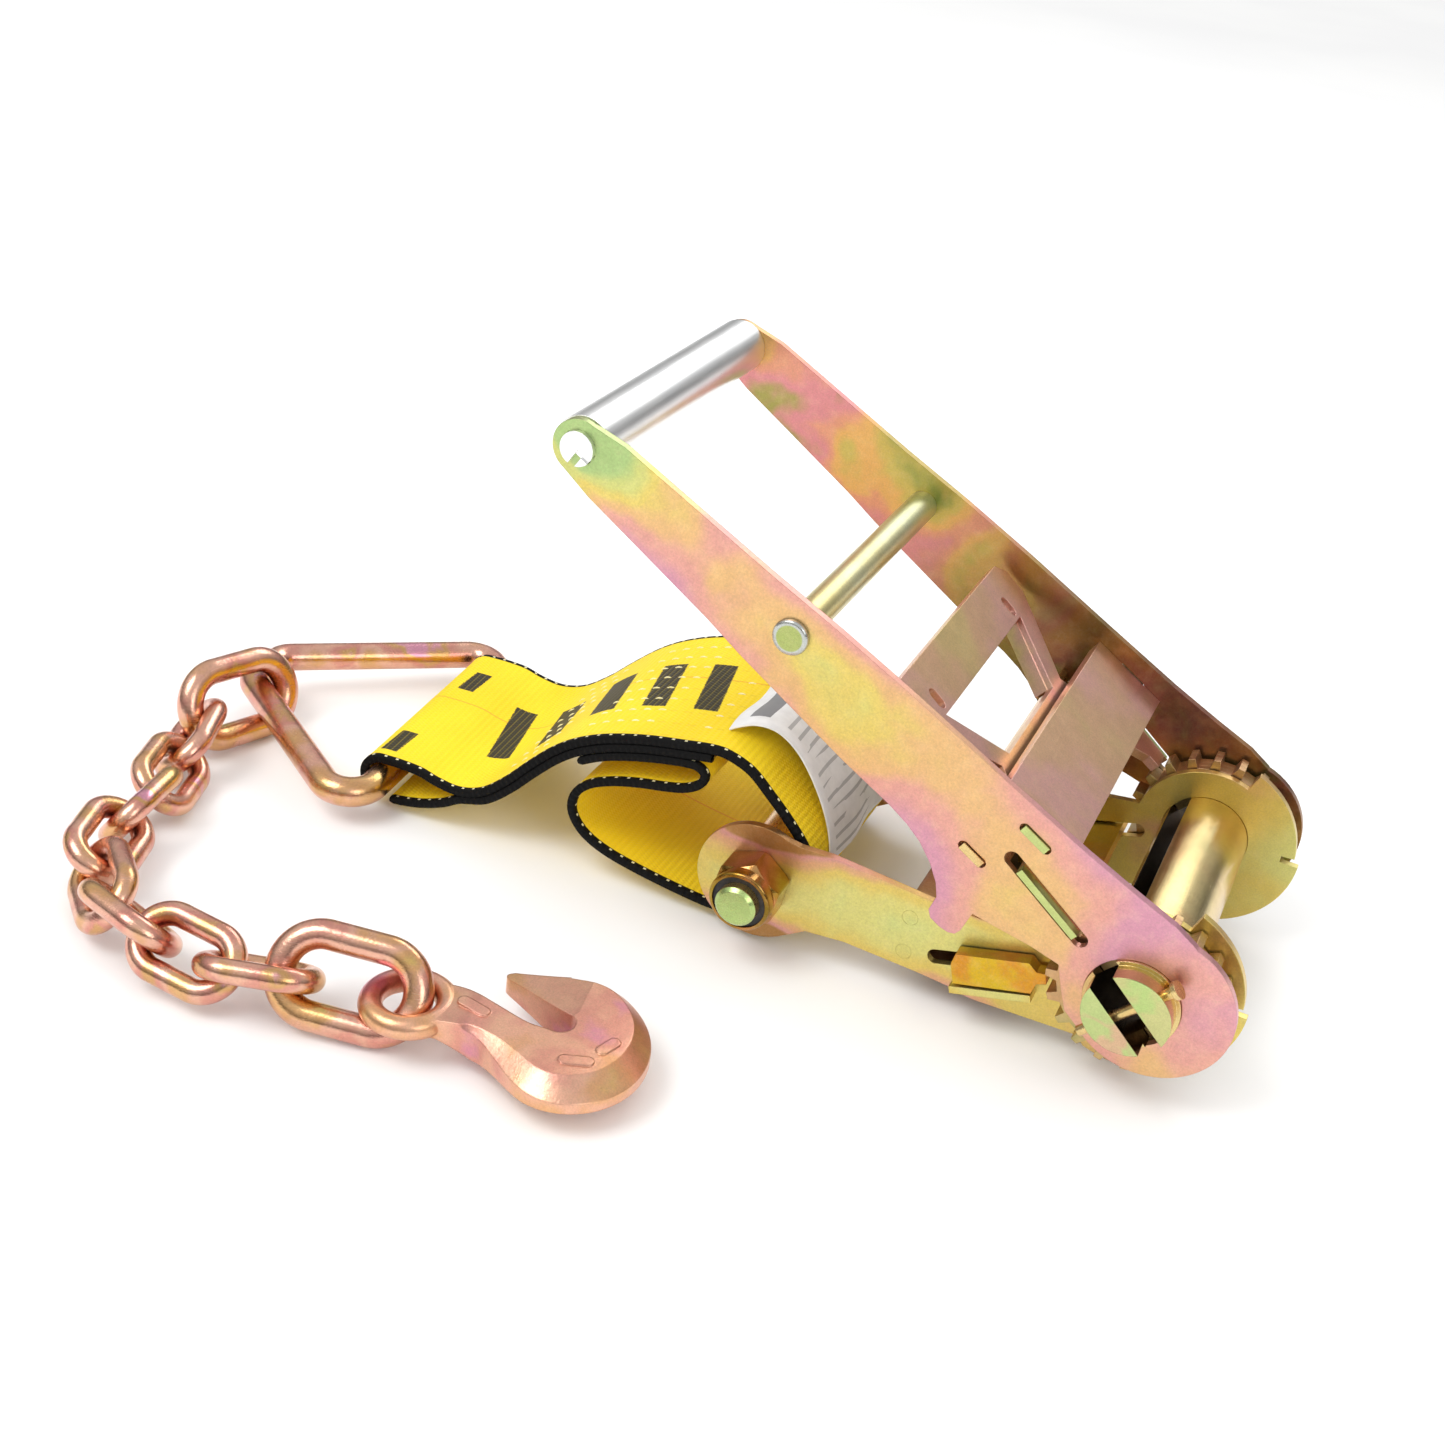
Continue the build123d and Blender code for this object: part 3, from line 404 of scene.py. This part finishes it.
GOLD = palette((0.0, 196, 196, 116), (0.3, 216, 184, 104), (0.6, 222, 196, 132),
               (0.85, 214, 164, 104), (1.0, 206, 186, 100))
MANDREL = palette((0.0, 198, 200, 128), (0.4, 222, 206, 140), (0.7, 218, 190, 126),
                  (1.0, 206, 170, 112))
ZINC = {
    "zinc_plate_a": dict(
        tints=palette((0.0, 168, 198, 128), (0.15, 202, 206, 122), (0.34, 222, 202, 108),
                      (0.50, 226, 184, 126), (0.70, 224, 164, 150), (1.0, 212, 152, 172)),
        seed=1.3, scale=15.0, field=near_field, rough=(0.26, 0.40)),
    "zinc_plate_b": dict(
        tints=palette((0.0, 130, 152, 78), (0.24, 200, 182, 96), (0.42, 224, 176, 104),
                      (0.58, 222, 156, 126), (0.78, 216, 142, 146), (1.0, 164, 160, 88)),
        seed=4.1, scale=22.0, field=far_field, recolour=paint_far_plate_shade),
    "zinc_base_a": dict(
        tints=palette((0.0, 200, 216, 140), (0.30, 216, 212, 126), (0.54, 222, 200, 104),
                      (0.74, 222, 174, 128), (0.90, 218, 160, 150), (1.0, 176, 132, 74)),
        seed=7.7, scale=20.0, field=base_field, rough=(0.26, 0.40)),
    "zinc_pawl": dict(
        tints=palette((0.0, 196, 200, 122), (0.28, 224, 200, 132), (0.50, 226, 186, 142),
                      (0.75, 226, 176, 164), (1.0, 206, 190, 116)),
        seed=2.9, scale=18.0, recolour=lime_ears),
    "zinc_lock": dict(
        tints=palette((0.0, 168, 176, 44), (0.35, 208, 188, 26), (0.62, 216, 180, 30),
                      (0.80, 214, 148, 34), (1.0, 190, 104, 36)),
        seed=5.5, scale=40.0),
    "zinc_gold": dict(tints=GOLD, seed=3.2, scale=30.0, rough=(0.14, 0.28)),
    "zinc_nut": dict(
        tints=palette((0.0, 170, 150, 58), (0.35, 158, 118, 40), (0.65, 196, 140, 84),
                      (1.0, 134, 108, 36)),
        seed=3.9, scale=44.0, rough=(0.08, 0.18), metal=1.0, marks=0.3, rim=0.1),
    "zinc_bolt": dict(tints=GOLD, seed=6.6, scale=36.0, rough=(0.16, 0.28), recolour=bolt_end),
    "zinc_mandrel_up": dict(
        tints=MANDREL, seed=2.2, scale=24.0, rough=(0.12, 0.24), metal=1.0,
        recolour=end_tints_and_slot_shade(display(186, 202, 134), display(212, 178, 144))),
    "zinc_mandrel_low": dict(
        tints=MANDREL, seed=5.2, scale=24.0, rough=(0.12, 0.24), metal=1.0,
        recolour=end_tints_and_slot_shade(display(180, 202, 128), display(196, 196, 134))),
    "zinc_gear": dict(
        tints=palette((0.0, 170, 166, 104), (0.35, 196, 176, 116), (0.65, 200, 160, 112),
                      (1.0, 184, 168, 108)),
        seed=8.2, scale=34.0, rough=(0.22, 0.40)),
    "zinc_forged": dict(
        tints=palette((0.0, 220, 192, 116), (0.25, 226, 172, 126), (0.5, 232, 178, 150),
                      (0.75, 222, 158, 140), (1.0, 218, 148, 166)),
        seed=6.1, scale=40.0, rough=(0.20, 0.34), grain=0.12, edge=0.0009, metal=1.0, rim=0.15),
    "zinc_rivet": dict(tints=GOLD, seed=2.7, scale=40.0, rough=(0.16, 0.28), recolour=rivet_rim),
    "zinc_chain": dict(
        tints=palette((0.0, 214, 188, 104), (0.26, 218, 168, 116), (0.50, 228, 176, 152),
                      (0.70, 216, 150, 134), (0.86, 208, 162, 106), (1.0, 220, 154, 174)),
        seed=9.4, scale=46.0, rough=(0.13, 0.27), grain=0.10, edge=0.0002, metal=1.0, rim=0.25),
    "zinc_channel": dict(
        tints=palette((0.0, 132, 128, 64), (0.4, 160, 128, 70), (0.7, 150, 104, 62),
                      (1.0, 120, 100, 50)),
        seed=1.9, scale=18.0, rough=(0.30, 0.5)),
    "zinc_bar": dict(
        tints=palette((0.0, 226, 214, 150), (0.5, 224, 226, 186), (1.0, 204, 212, 150)),
        seed=4.4, scale=22.0, rough=(0.24, 0.36), rim=0.1),
}


# ------------------------------------------------------------------ other hardware materials
def chrome():
    net = MaterialNet("chrome_plate")
    coords = net.coords()
    cloud = net.noise(coords, scale=26.0, detail=3.0, rough=0.55)
    dust = net.noise(coords, scale=1500.0, detail=3.0, rough=0.7)
    colour = net.two_tone(cloud, low=(0.86, 0.87, 0.87), high=(0.94, 0.94, 0.93))
    colour = net.mix(net.excess(dust, level=0.58, strength=1.2), colour, (0.42, 0.42, 0.44))
    scratch = net.noise(net.mapping(coords, scale=(1400, 40, 1400)), rough=0.6)
    normal = net.bump(scratch, strength=0.06, distance=0.0003, normal=net.bevel(0.0003))
    return net.finish(Base_Color=colour, Metallic=1.0, Normal=normal,
                      Roughness=net.muladd(scratch, 0.16, 0.24))


def spring_steel():
    net = MaterialNet("spring_steel")
    grain = net.noise(net.coords(), scale=420.0, detail=3.0, rough=0.6)
    colour = net.two_tone(grain, low=(0.46, 0.45, 0.42), high=(0.66, 0.64, 0.58))
    return net.finish(Base_Color=colour, Metallic=1.0, Roughness=net.muladd(grain, 0.2, 0.2))


def nylon():
    net = MaterialNet("nylon_ring")
    grain = net.noise(net.coords(), scale=700.0, detail=4.0, rough=0.6)
    colour = net.two_tone(grain, low=(0.012, 0.012, 0.013), high=(0.030, 0.030, 0.032))
    return net.finish(Base_Color=colour, Roughness=net.muladd(grain, 0.2, 0.4),
                      Normal=net.bump(grain, strength=0.15, distance=0.0004))


# material of each loaded piece; chain links are found by name, the rest are zinc_plate_a
PIECES = {
    "zinc_plate_b": ["handle_plate_far"],
    "zinc_base_a": ["base_plate_near", "base_plate_far", "base_rivets"],
    "zinc_pawl": ["handle_brace", "drive_pawl"],
    "zinc_lock": ["lock_pawl"],
    "zinc_gold": ["anchor_sleeve", "mandrel_pins", "spring_seat"],
    "zinc_nut": ["anchor_nut"],
    "zinc_bolt": ["anchor_bolt"],
    "zinc_mandrel_up": ["mandrel_half_upper"],
    "zinc_mandrel_low": ["mandrel_half_lower"],
    "zinc_gear": ["ratchet_gear_near", "ratchet_gear_far"],
    "zinc_forged": ["grab_hook"],
    "zinc_rivet": ["crossbar_rivets"],
    "zinc_chain": ["delta_ring"],
    "zinc_channel": ["base_cross_channel"],
    "zinc_bar": ["handle_crossbar"],
    "chrome_plate": ["grip_tube", "grip_tabs"],
    "spring_steel": ["lock_springs", "drive_springs"],
    "nylon_ring": ["nut_insert"],
}


def dress_hardware():
    materials = {name: zinc(name, **settings) for name, settings in ZINC.items()}
    for material in (chrome(), spring_steel(), nylon()):
        materials[material.name] = material
    chosen = {piece: name for name, pieces in PIECES.items() for piece in pieces}
    for piece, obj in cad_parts.items():
        other = "zinc_chain" if piece.startswith("chain_link") else "zinc_plate_a"
        obj.data.materials.clear()
        obj.data.materials.append(materials[chosen.get(piece, other)])
        for polygon in obj.data.polygons:
            polygon.material_index = 0


dress_hardware()


# ------------------------------------------------------------------ strap materials
def webbing_material():
    net = MaterialNet("yellow_webbing")
    uv = net.cloth_uv()
    u, v, _ = net.split(uv)  # along the webbing, and across from its middle
    from_middle = net.size_of(v)
    edge = net.mul(net.sub(from_middle, 0.0480), 3000.0, clamp=True)

    # ribs across the webbing and yarns along it
    rib = net.wave(u, pitch=0.0026)
    check = net.mul(rib, net.wave(v, pitch=0.0017))
    fuzz = net.noise(net.mapping(uv, scale=(900, 2600, 1)), detail=3.0, rough=0.6)
    slow = net.noise(net.mapping(uv, scale=(22, 16, 1)))
    yellow = net.two_tone(slow, low=(0.90, 0.62, 0.003), high=(0.95, 0.70, 0.008))
    yellow = net.mix(net.muladd(net.add(rib, 1.0), 0.06, 0.0), yellow, (0.62, 0.40, 0.0))
    yellow = net.mix(net.mul(fuzz, 0.08), yellow, (1.0, 0.88, 0.20))
    tracer = net.below(net.size_of(net.sub(v, 0.0065)), 0.00035)
    yellow = net.mix(net.mul(tracer, 0.55), yellow, (0.80, 0.22, 0.03))

    # bound edge: black with light flecks
    fleck_line = net.below(net.size_of(net.sub(from_middle, 0.0492)), 0.0005)
    fleck = net.mul(net.above(net.wave(u, pitch=0.0052), 0.78), fleck_line)
    black = net.mix(net.mul(fuzz, 0.25), (0.003, 0.003, 0.003), (0.022, 0.022, 0.022))
    black = net.mix(fleck, black, (0.75, 0.70, 0.42))

    # stitch lines through the sewn length, on the marked face only
    object_x = net.split(net.coords())[0]
    top = net.new("ShaderNodeAttribute", attribute_name="side").outputs["Fac"]
    sewn = net.between(object_x, SEWN_START, -0.1715)
    row_wave = net.wave(net.add(v, -STITCH_ROW), pitch=2 * STITCH_ROW_PITCH)
    rows = net.below(net.size_of(row_wave), 0.16)
    dash = net.above(net.wave(u, pitch=STITCH_LENGTH + STITCH_GAP), -0.25)
    thread = net.mul(net.mul(rows, dash), net.mul(sewn, top))
    yellow = net.mix(net.mul(thread, 0.25), yellow, (0.60, 0.40, 0.02))

    # printed marks: five slanting bars, then two short blocks nearer the ring
    ragged = net.muladd(net.sub(fuzz, 0.5), 0.0022, 0.0)
    slanted_x = net.add(net.muladd(v, 0.22, object_x), ragged)
    first_bar, bar_pitch, bar_half = -0.276, 0.0215, 0.0050
    marks = []
    for k in range(5):
        middle = first_bar + bar_pitch * k
        length = net.between(slanted_x, middle - bar_half, middle + bar_half)
        marks.append(net.mul(length, net.between(net.add(v, ragged), -0.022, 0.020)))
    for low, high in ((-0.044, -0.027), (0.016, 0.033)):
        length = net.between(net.add(object_x, ragged), -0.3125, -0.3050)
        marks.append(net.mul(length, net.between(v, low, high)))
    ink = marks[0]
    for mark in marks[1:]:
        ink = net.math("MAXIMUM", ink, mark)
    worn = net.muladd(net.above(rib, 0.86), -0.14, 0.97)  # thinner ink on rib crests
    yellow = net.mix(net.mul(net.mul(ink, top), worn), yellow, (0.018, 0.018, 0.020))

    height = net.add(net.mul(rib, 0.55), net.mul(check, 0.35))
    height = net.add(height, net.mul(fuzz, 0.5))
    return net.finish(Base_Color=net.mix(edge, yellow, black), Roughness=0.62,
                      Normal=net.bump(height, strength=0.55, distance=0.00035),
                      Sheen_Weight=net.mul(net.sub(1.0, edge), 0.03),
                      Specular_IOR_Level=net.muladd(edge, -0.10, 0.20))


def thread_material():
    net = MaterialNet("stitch_thread")
    coords = net.coords()
    fibre = net.noise(coords, scale=1800.0, detail=3.0, rough=0.6)
    twist = net.math("SINE", net.mul(net.noise(coords, scale=500.0, detail=1.0), 60.0))
    colour = net.two_tone(fibre, low=(0.86, 0.72, 0.20), high=(0.96, 0.90, 0.58))
    height = net.add(fibre, net.mul(twist, 0.1))
    return net.finish(Base_Color=colour, Roughness=0.6,
                      Normal=net.bump(height, strength=0.4, distance=0.0003))


def label_material():
    """White label with broken grey lines across it and one dark block."""
    net = MaterialNet("blank_label")
    uv = net.cloth_uv()
    u, v, _ = net.split(uv)
    grain = net.noise(net.mapping(uv, scale=(160, 160, 1)), detail=3.0, rough=0.6)
    white = net.two_tone(grain, low=(0.80, 0.80, 0.80), high=(0.88, 0.88, 0.88))
    line = net.above(net.wave(u, pitch=0.0052), 0.62)
    breaks = net.noise(net.mapping(uv, scale=(190, 42, 1)), detail=1.0)
    zone = net.mul(net.above(u, 0.020), net.below(net.size_of(v), 0.030))
    lines = net.mul(net.mul(line, net.above(breaks, 0.44)), zone)
    block = net.mul(net.between(u, 0.006, 0.014),
                    net.below(net.size_of(net.add(v, 0.016)), 0.013))
    colour = net.mix(net.mul(lines, 0.55), white, (0.20, 0.20, 0.21))
    colour = net.mix(net.mul(block, 0.8), colour, (0.10, 0.10, 0.11))
    return net.finish(Base_Color=colour, Roughness=0.45,
                      Normal=net.bump(grain, strength=0.1, distance=0.0005))


# ------------------------------------------------------------------ strap geometry helpers
def spline(points_mm, step):
    """Catmull-Rom through (x, z) points, resampled to even steps in metres."""
    points = [Vector((x / 1000, z / 1000)) for x, z in points_mm]
    padded = [points[0] * 2 - points[1]] + points + [points[-1] * 2 - points[-2]]
    dense = []
    for i in range(1, len(padded) - 2):
        p0, p1, p2, p3 = padded[i - 1:i + 3]
        for k in range(12):
            t = k / 12
            dense.append(0.5 * ((2 * p1) + (p2 - p0) * t
                                + (2 * p0 - 5 * p1 + 4 * p2 - p3) * t * t
                                + (3 * p1 - p0 - 3 * p2 + p3) * t ** 3))
    dense.append(points[-1])
    even, travelled = [dense[0]], 0.0
    for a, b in zip(dense, dense[1:]):
        left = (b - a).length
        while travelled + left >= step:
            a = a + (b - a) * ((step - travelled) / left)
            left = (b - a).length
            travelled = 0.0
            even.append(a)
        travelled += left
    even.append(dense[-1])
    return even


def normal_of(a, b):
    """The unit normal to the left of the way from a to b."""
    direction = (b - a).normalized()
    return Vector((-direction.y, direction.x))


def walk(points, start=0.0):
    """Distance travelled, point and normal at each point of a path."""
    stations = []
    travelled = start
    for i, point in enumerate(points):
        before, after = points[max(0, i - 1)], points[min(len(points) - 1, i + 1)]
        if i:
            travelled += (point - before).length
        stations.append((travelled, point, normal_of(before, after)))
    return stations


def drift(x):
    """The webbing's shift in y near the ring, and the slope of its cross line."""
    f = min(1.0, max(0.0, (-0.215 - x) / 0.075))
    f = f * f * (3 - 2 * f)
    return -0.003 * f, math.sin(math.radians(4.0)) * f


def tube_faces(count, loop, start=0, flip_caps=False):
    """Quads joining count rings, then both end caps; loop orders each ring's vertices."""
    size = len(loop)
    faces = []
    for i in range(count - 1):
        low = start + i * size
        for a, b in zip(loop, loop[1:] + loop[:1]):
            faces.append((low + a, low + b, low + size + b, low + size + a))
    step = -1 if flip_caps else 1
    last = start + (count - 1) * size
    faces.append(tuple(start + j for j in loop[::step]))
    faces.append(tuple(last + j for j in loop[::-step]))
    return faces


def add_mesh(name, vertices, faces, material, cloth_uv=None, mesh_name=None):
    """Adds a smooth object; cloth_uv holds one (u, v) for each vertex."""
    mesh = bpy.data.meshes.new(mesh_name or name)
    mesh.from_pydata(vertices, [], faces)
    mesh.validate()
    if cloth_uv:
        layer = mesh.uv_layers.new(name="cloth")
        for corner in mesh.loops:
            layer.data[corner.index].uv = cloth_uv[corner.vertex_index]
    mesh.update()
    for polygon in mesh.polygons:
        polygon.use_smooth = True
    mesh.materials.append(material)
    obj = bpy.data.objects.new(name, mesh)
    scene.collection.objects.link(obj)
    return obj


def join_strap(obj):
    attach(obj, "strap")


# ------------------------------------------------------------------ webbing
# share of the half width, thickness factor; the bound edge is thicker and rounded
EDGE_TO_MIDDLE = [
    (-1.0, 0.35), (-0.996, 0.80), (-0.985, 1.04), (-0.962, 1.06), (-0.935, 1.0),
    (-0.90, 0.94), (-0.6, 0.93), (-0.3, 0.93), (0.0, 0.93)]
PROFILE = EDGE_TO_MIDDLE + [(-share, factor) for share, factor in EDGE_TO_MIDDLE[-2::-1]]
MIDDLE_FACTOR = EDGE_TO_MIDDLE[-1][1]

# the paths below are x, z points
# top surface of the sewn stack, from the ring towards the buckle
TOP_MM = [
    (-286.0, -19.2), (-276.0, -20.2), (-266.0, -17.2), (-256.0, -9.4), (-246.5, 0.2),
    (-237.0, 9.2), (-228.0, 15.8), (-218.0, 21.0), (-208.0, 24.8), (-196.0, 28.2),
    (-182.0, 31.0), (-170.5, 33.0)]
# down round the anchor bolt, back below the stack, then folded up under it
BOLT_LOOP_MM = [
    (-163.0, 31.0), (-154.0, 27.6), (-146.0, 20.8), (-137.0, 12.2), (-129.6, 3.6),
    (-125.8, -4.6), (-125.4, -12.6), (-128.0, -20.4), (-134.0, -27.4), (-142.4, -32.4),
    (-152.0, -34.6), (-164.0, -34.8), (-178.0, -33.4), (-195.0, -30.8), (-208.0, -27.8),
    (-217.0, -23.8), (-222.6, -18.4), (-224.8, -12.4), (-223.2, -5.8), (-217.8, -0.4),
    (-209.0, 3.8), (-198.0, 7.0), (-187.0, 9.2), (-178.6, 11.6), (-173.0, 15.4),
    (-171.6, 19.6), (-174.6, 22.2)]
# from the ring loop to the sewn stack: the outer run above, the inner run below
OUTER_LEAD_MM = [(-303.0, -18.6), (-294.0, -19.0)]
INNER_LEAD_MM = [(-307.0, -35.9), (-303.0, -35.6), (-293.0, -33.4), (-283.0, -29.6)]
RING_BAR_MM = (-311.17, -27.4)
RING_LOOP_RADIUS_MM = 6.9 + WEB_THICK_MM / 2


def layer_mm(index, gap):
    """Middle line of a layer in the stack, counted from 0 at the top."""
    depth = WEB_THICK_MM * (index + 0.5) + gap
    line = []
    for i, (x, z) in enumerate(TOP_MM):
        (ax, az), (bx, bz) = TOP_MM[max(0, i - 1)], TOP_MM[min(len(TOP_MM) - 1, i + 1)]
        dx, dz = bx - ax, bz - az
        length = math.hypot(dx, dz)
        line.append((x + dz / length * depth, z - dx / length * depth))
    return line


def ribbon(name, path_mm, material, start=0.0, marked_to=None):
    """Webbing along a path; its top face takes ink and thread until x passes marked_to."""
    stations = walk(spline(path_mm, step=0.0016), start)
    ring = [(share, 0.5 * factor) for share, factor in PROFILE]
    ring += [(share, -0.5 * factor) for share, factor in reversed(PROFILE)]
    vertices, cloth_uv, side = [], [], []
    marked = marked_to is not None
    for i, (travelled, point, normal) in enumerate(stations):
        marked = marked and point.x <= marked_to
        shift, slope = drift(point.x)
        thinning = 1.0 if 0 < i < len(stations) - 1 else 0.6
        for share, factor in ring:
            across = share * WEB_HALF
            surface = point + normal * (WEB_THICK * factor * thinning)
            vertices.append((surface.x - slope * across, shift + across, surface.y))
            cloth_uv.append((travelled, across))
            side.append(1.0 if factor > 0 and marked and point.y > -0.0290 else 0.0)
    faces = tube_faces(len(stations), list(range(len(ring))))
    obj = add_mesh(name, vertices, faces, material, cloth_uv)
    attribute = obj.data.attributes.new("side", "FLOAT", "POINT")
    for item, value in zip(attribute.data, side):
        item.value = value
    return obj, stations


def build_webbing():
    """Makes both lengths and returns the outer one's stations."""
    bar_x, bar_z = RING_BAR_MM
    ring_loop = []
    for degrees in range(265, 79, -15):
        angle = math.radians(degrees)
        ring_loop.append((bar_x + RING_LOOP_RADIUS_MM * math.cos(angle),
                          bar_z + RING_LOOP_RADIUS_MM * math.sin(angle)))
    tail = [p for p in reversed(layer_mm(2, gap=0.65)) if -226 < p[0] < -180]
    outer_path = ring_loop + OUTER_LEAD_MM + layer_mm(0, gap=0.1) + BOLT_LOOP_MM + tail
    inner_path = INNER_LEAD_MM + layer_mm(1, gap=0.35)[1:]
    material = webbing_material()
    outer, stations = ribbon("webbing_outer", outer_path, material, marked_to=-0.1706)
    inner, _ = ribbon("webbing_inner", inner_path, material, start=0.05)
    join_strap(outer)
    join_strap(inner)
    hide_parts("webbing")
    return stations


def build_stitches(stations):
    """Short arched threads on the outer webbing, their ends let into it."""
    sides = 6
    shares = (0.0, 0.15, 0.35, 0.5, 0.65, 0.85, 1.0)  # ring places along one stitch
    vertices, faces = [], []

    def add_stitch(across, first, last):
        faces.extend(tube_faces(len(shares), list(range(sides)), len(vertices), flip_caps=True))
        for t in shares:
            f = first + (last - first) * t
            i = min(int(f), len(stations) - 2)
            a, b = stations[i][1], stations[i + 1][1]
            normal = normal_of(a, b)
            shift, slope = drift(a.lerp(b, f - i).x)
            arch = STITCH_RADIUS * (1.05 * math.sin(math.pi * t) - 0.75)
            centre = a.lerp(b, f - i) + normal * (WEB_THICK / 2 * MIDDLE_FACTOR + arch)
            for j in range(sides):
                angle = j * math.pi / 3
                surface = centre + normal * (STITCH_RADIUS * math.sin(angle))
                y = shift + across + STITCH_RADIUS * math.cos(angle)
                vertices.append((surface.x - slope * across, y, surface.y))

    for row in range(-3, 5):
        start = STITCH_GAP * 0.3
        while start < stations[-1][0]:
            covered = [i for i, (travelled, point, _) in enumerate(stations)
                       if start <= travelled <= start + STITCH_LENGTH
                       and SEWN_START < point.x < -0.1725 and point.y > -0.024]
            if len(covered) >= 2:
                begin, end = stations[covered[0]][0], stations[covered[-1]][0]
                # begin under 0.2 keeps to the top run, before the bolt loop turns back
                if end - begin > 0.4 * STITCH_LENGTH and begin < 0.2:
                    add_stitch(STITCH_ROW + STITCH_ROW_PITCH * row, covered[0], covered[-1])
            start += STITCH_LENGTH + STITCH_GAP
    join_strap(add_mesh("strap_stitches", vertices, faces, thread_material()))


# ------------------------------------------------------------------ label
LABEL_MM = [  # x, z from the end of the sewing, over and down round the bolt loop
    (-169.4, 33.6), (-166.0, 35.6), (-159.0, 38.4), (-151.0, 38.2), (-143.4, 33.6),
    (-136.6, 26.0), (-130.6, 17.0), (-126.0, 8.0), (-123.2, -0.6), (-122.0, -9.0)]
LABEL_HALF = 0.0360  # half width
LABEL_HALF_THICK = 0.00035
LABEL_COLUMNS = 13


def build_label():
    stations = walk(spline(LABEL_MM, step=0.002))
    vertices, cloth_uv = [], []
    for travelled, point, normal in stations:
        for face in (1, -1):
            for j in range(LABEL_COLUMNS):
                y = -LABEL_HALF + 2 * LABEL_HALF * j / (LABEL_COLUMNS - 1)
                curl = 0.0008 * math.sin(j * 0.9 + travelled * 60)
                surface = point + normal * (face * LABEL_HALF_THICK + curl)
                vertices.append((surface.x, y, surface.y))
                cloth_uv.append((travelled, y))
    # out along one face and back along the other
    loop = list(range(LABEL_COLUMNS)) + list(range(2 * LABEL_COLUMNS - 1, LABEL_COLUMNS - 1, -1))
    faces = tube_faces(len(stations), loop)
    join_strap(add_mesh("strap_label", vertices, faces, label_material(), cloth_uv, "label"))


build_stitches(build_webbing())
build_label()


# ------------------------------------------------------------------ stage, light and camera
def build_floor():
    floor_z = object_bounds()[0][2] - 0.0002
    bpy.ops.mesh.primitive_plane_add(size=60.0, location=(0, 0, floor_z))
    floor = bpy.context.object
    floor.name = "floor"
    net = MaterialNet("pale_floor")
    cloud = net.noise(net.coords(), scale=3.0, detail=3.0)
    colour = net.two_tone(cloud, low=(0.925, 0.925, 0.925), high=(0.955, 0.955, 0.95))
    floor.data.materials.append(
        net.finish(Base_Color=colour, Roughness=1.0, Specular_IOR_Level=0.0))


def build_world():
    """Even white, but banded by height in reflections to give the metal contrast."""
    world = bpy.data.worlds.new("studio")
    scene.world = world
    net = Net(world, "ShaderNodeOutputWorld")
    generated = net.new("ShaderNodeTexCoord").outputs["Generated"]
    height = net.new("ShaderNodeMapRange")
    height.inputs["From Min"].default_value = -1.0
    height.inputs["From Max"].default_value = 1.0
    net.link(net.split(generated)[2], height.inputs["Value"])
    greys = [(p, (c, c, c)) for p, c in
             ((0.0, 0.75), (0.49, 0.42), (0.56, 0.10), (0.66, 0.60), (0.80, 1.0))]
    bands = net.ramp(height.outputs[0], greys + [(1.0, (0.95, 0.96, 1.0))], mode="LINEAR")
    rays = net.new("ShaderNodeLightPath").outputs

    def background(colour, strength):
        node = net.new("ShaderNodeBackground")
        net.feed(node.inputs["Color"], colour)
        net.feed(node.inputs["Strength"], strength)
        return node.outputs[0]

    # 0.96 as light, 0.14 more where the camera sees it
    even = background((1.0, 1.0, 1.0), net.muladd(rays["Is Camera Ray"], 0.14, 0.96))
    banded = background(bands, 0.80)
    choice = net.new("ShaderNodeMixShader")
    for target, source in zip(choice.inputs, (rays["Is Glossy Ray"], even, banded)):
        net.link(source, target)
    net.link(choice.outputs[0], net.output.inputs[0])


def area_light(name, location, target, size, size_y, power):
    light = bpy.data.lights.new(name, "AREA")
    light.shape = "RECTANGLE"
    light.size = size
    light.size_y = size_y
    light.energy = power
    obj = bpy.data.objects.new(name, light)
    obj.location = location
    aim = Vector(target) - Vector(location)
    obj.rotation_euler = aim.to_track_quat("-Z", "Y").to_euler()
    scene.collection.objects.link(obj)


def build_camera():
    camera = bpy.data.cameras.new("camera")
    camera.sensor_width = 36.0
    camera.lens = 47.8972
    camera.clip_start = 0.01
    camera.clip_end = 50.0
    right = (0.908295582956637, 0.4024368657461115, 0.11420903234818885)
    up = (-0.2902485630608103, 0.4096530269588452, 0.8648353422152628)
    backward = (0.3012555487000999, -0.8186751288465421, 0.48889275693704026)
    turn = Matrix((right, up, backward)).transposed().to_4x4()
    obj = bpy.data.objects.new("camera", camera)
    obj.matrix_world = Matrix.Translation((0.0428, -0.6211, 0.385)) @ turn
    scene.collection.objects.link(obj)
    scene.camera = obj


build_floor()
build_world()
area_light("key", location=(-0.9, -0.9, 1.5), target=(-0.18, -0.05, 0.0),
           size=0.9, size_y=0.9, power=13.5)
area_light("fill", location=(1.2, -1.0, 0.9), target=(-0.15, -0.05, 0.0),
           size=0.8, size_y=0.8, power=5.5)
area_light("back", location=(-0.1, 1.4, 1.2), target=(-0.18, 0.0, 0.0),
           size=1.2, size_y=0.5, power=7.0)
build_camera()
scene.view_settings.view_transform = "Standard"
scene.view_settings.look = "None"
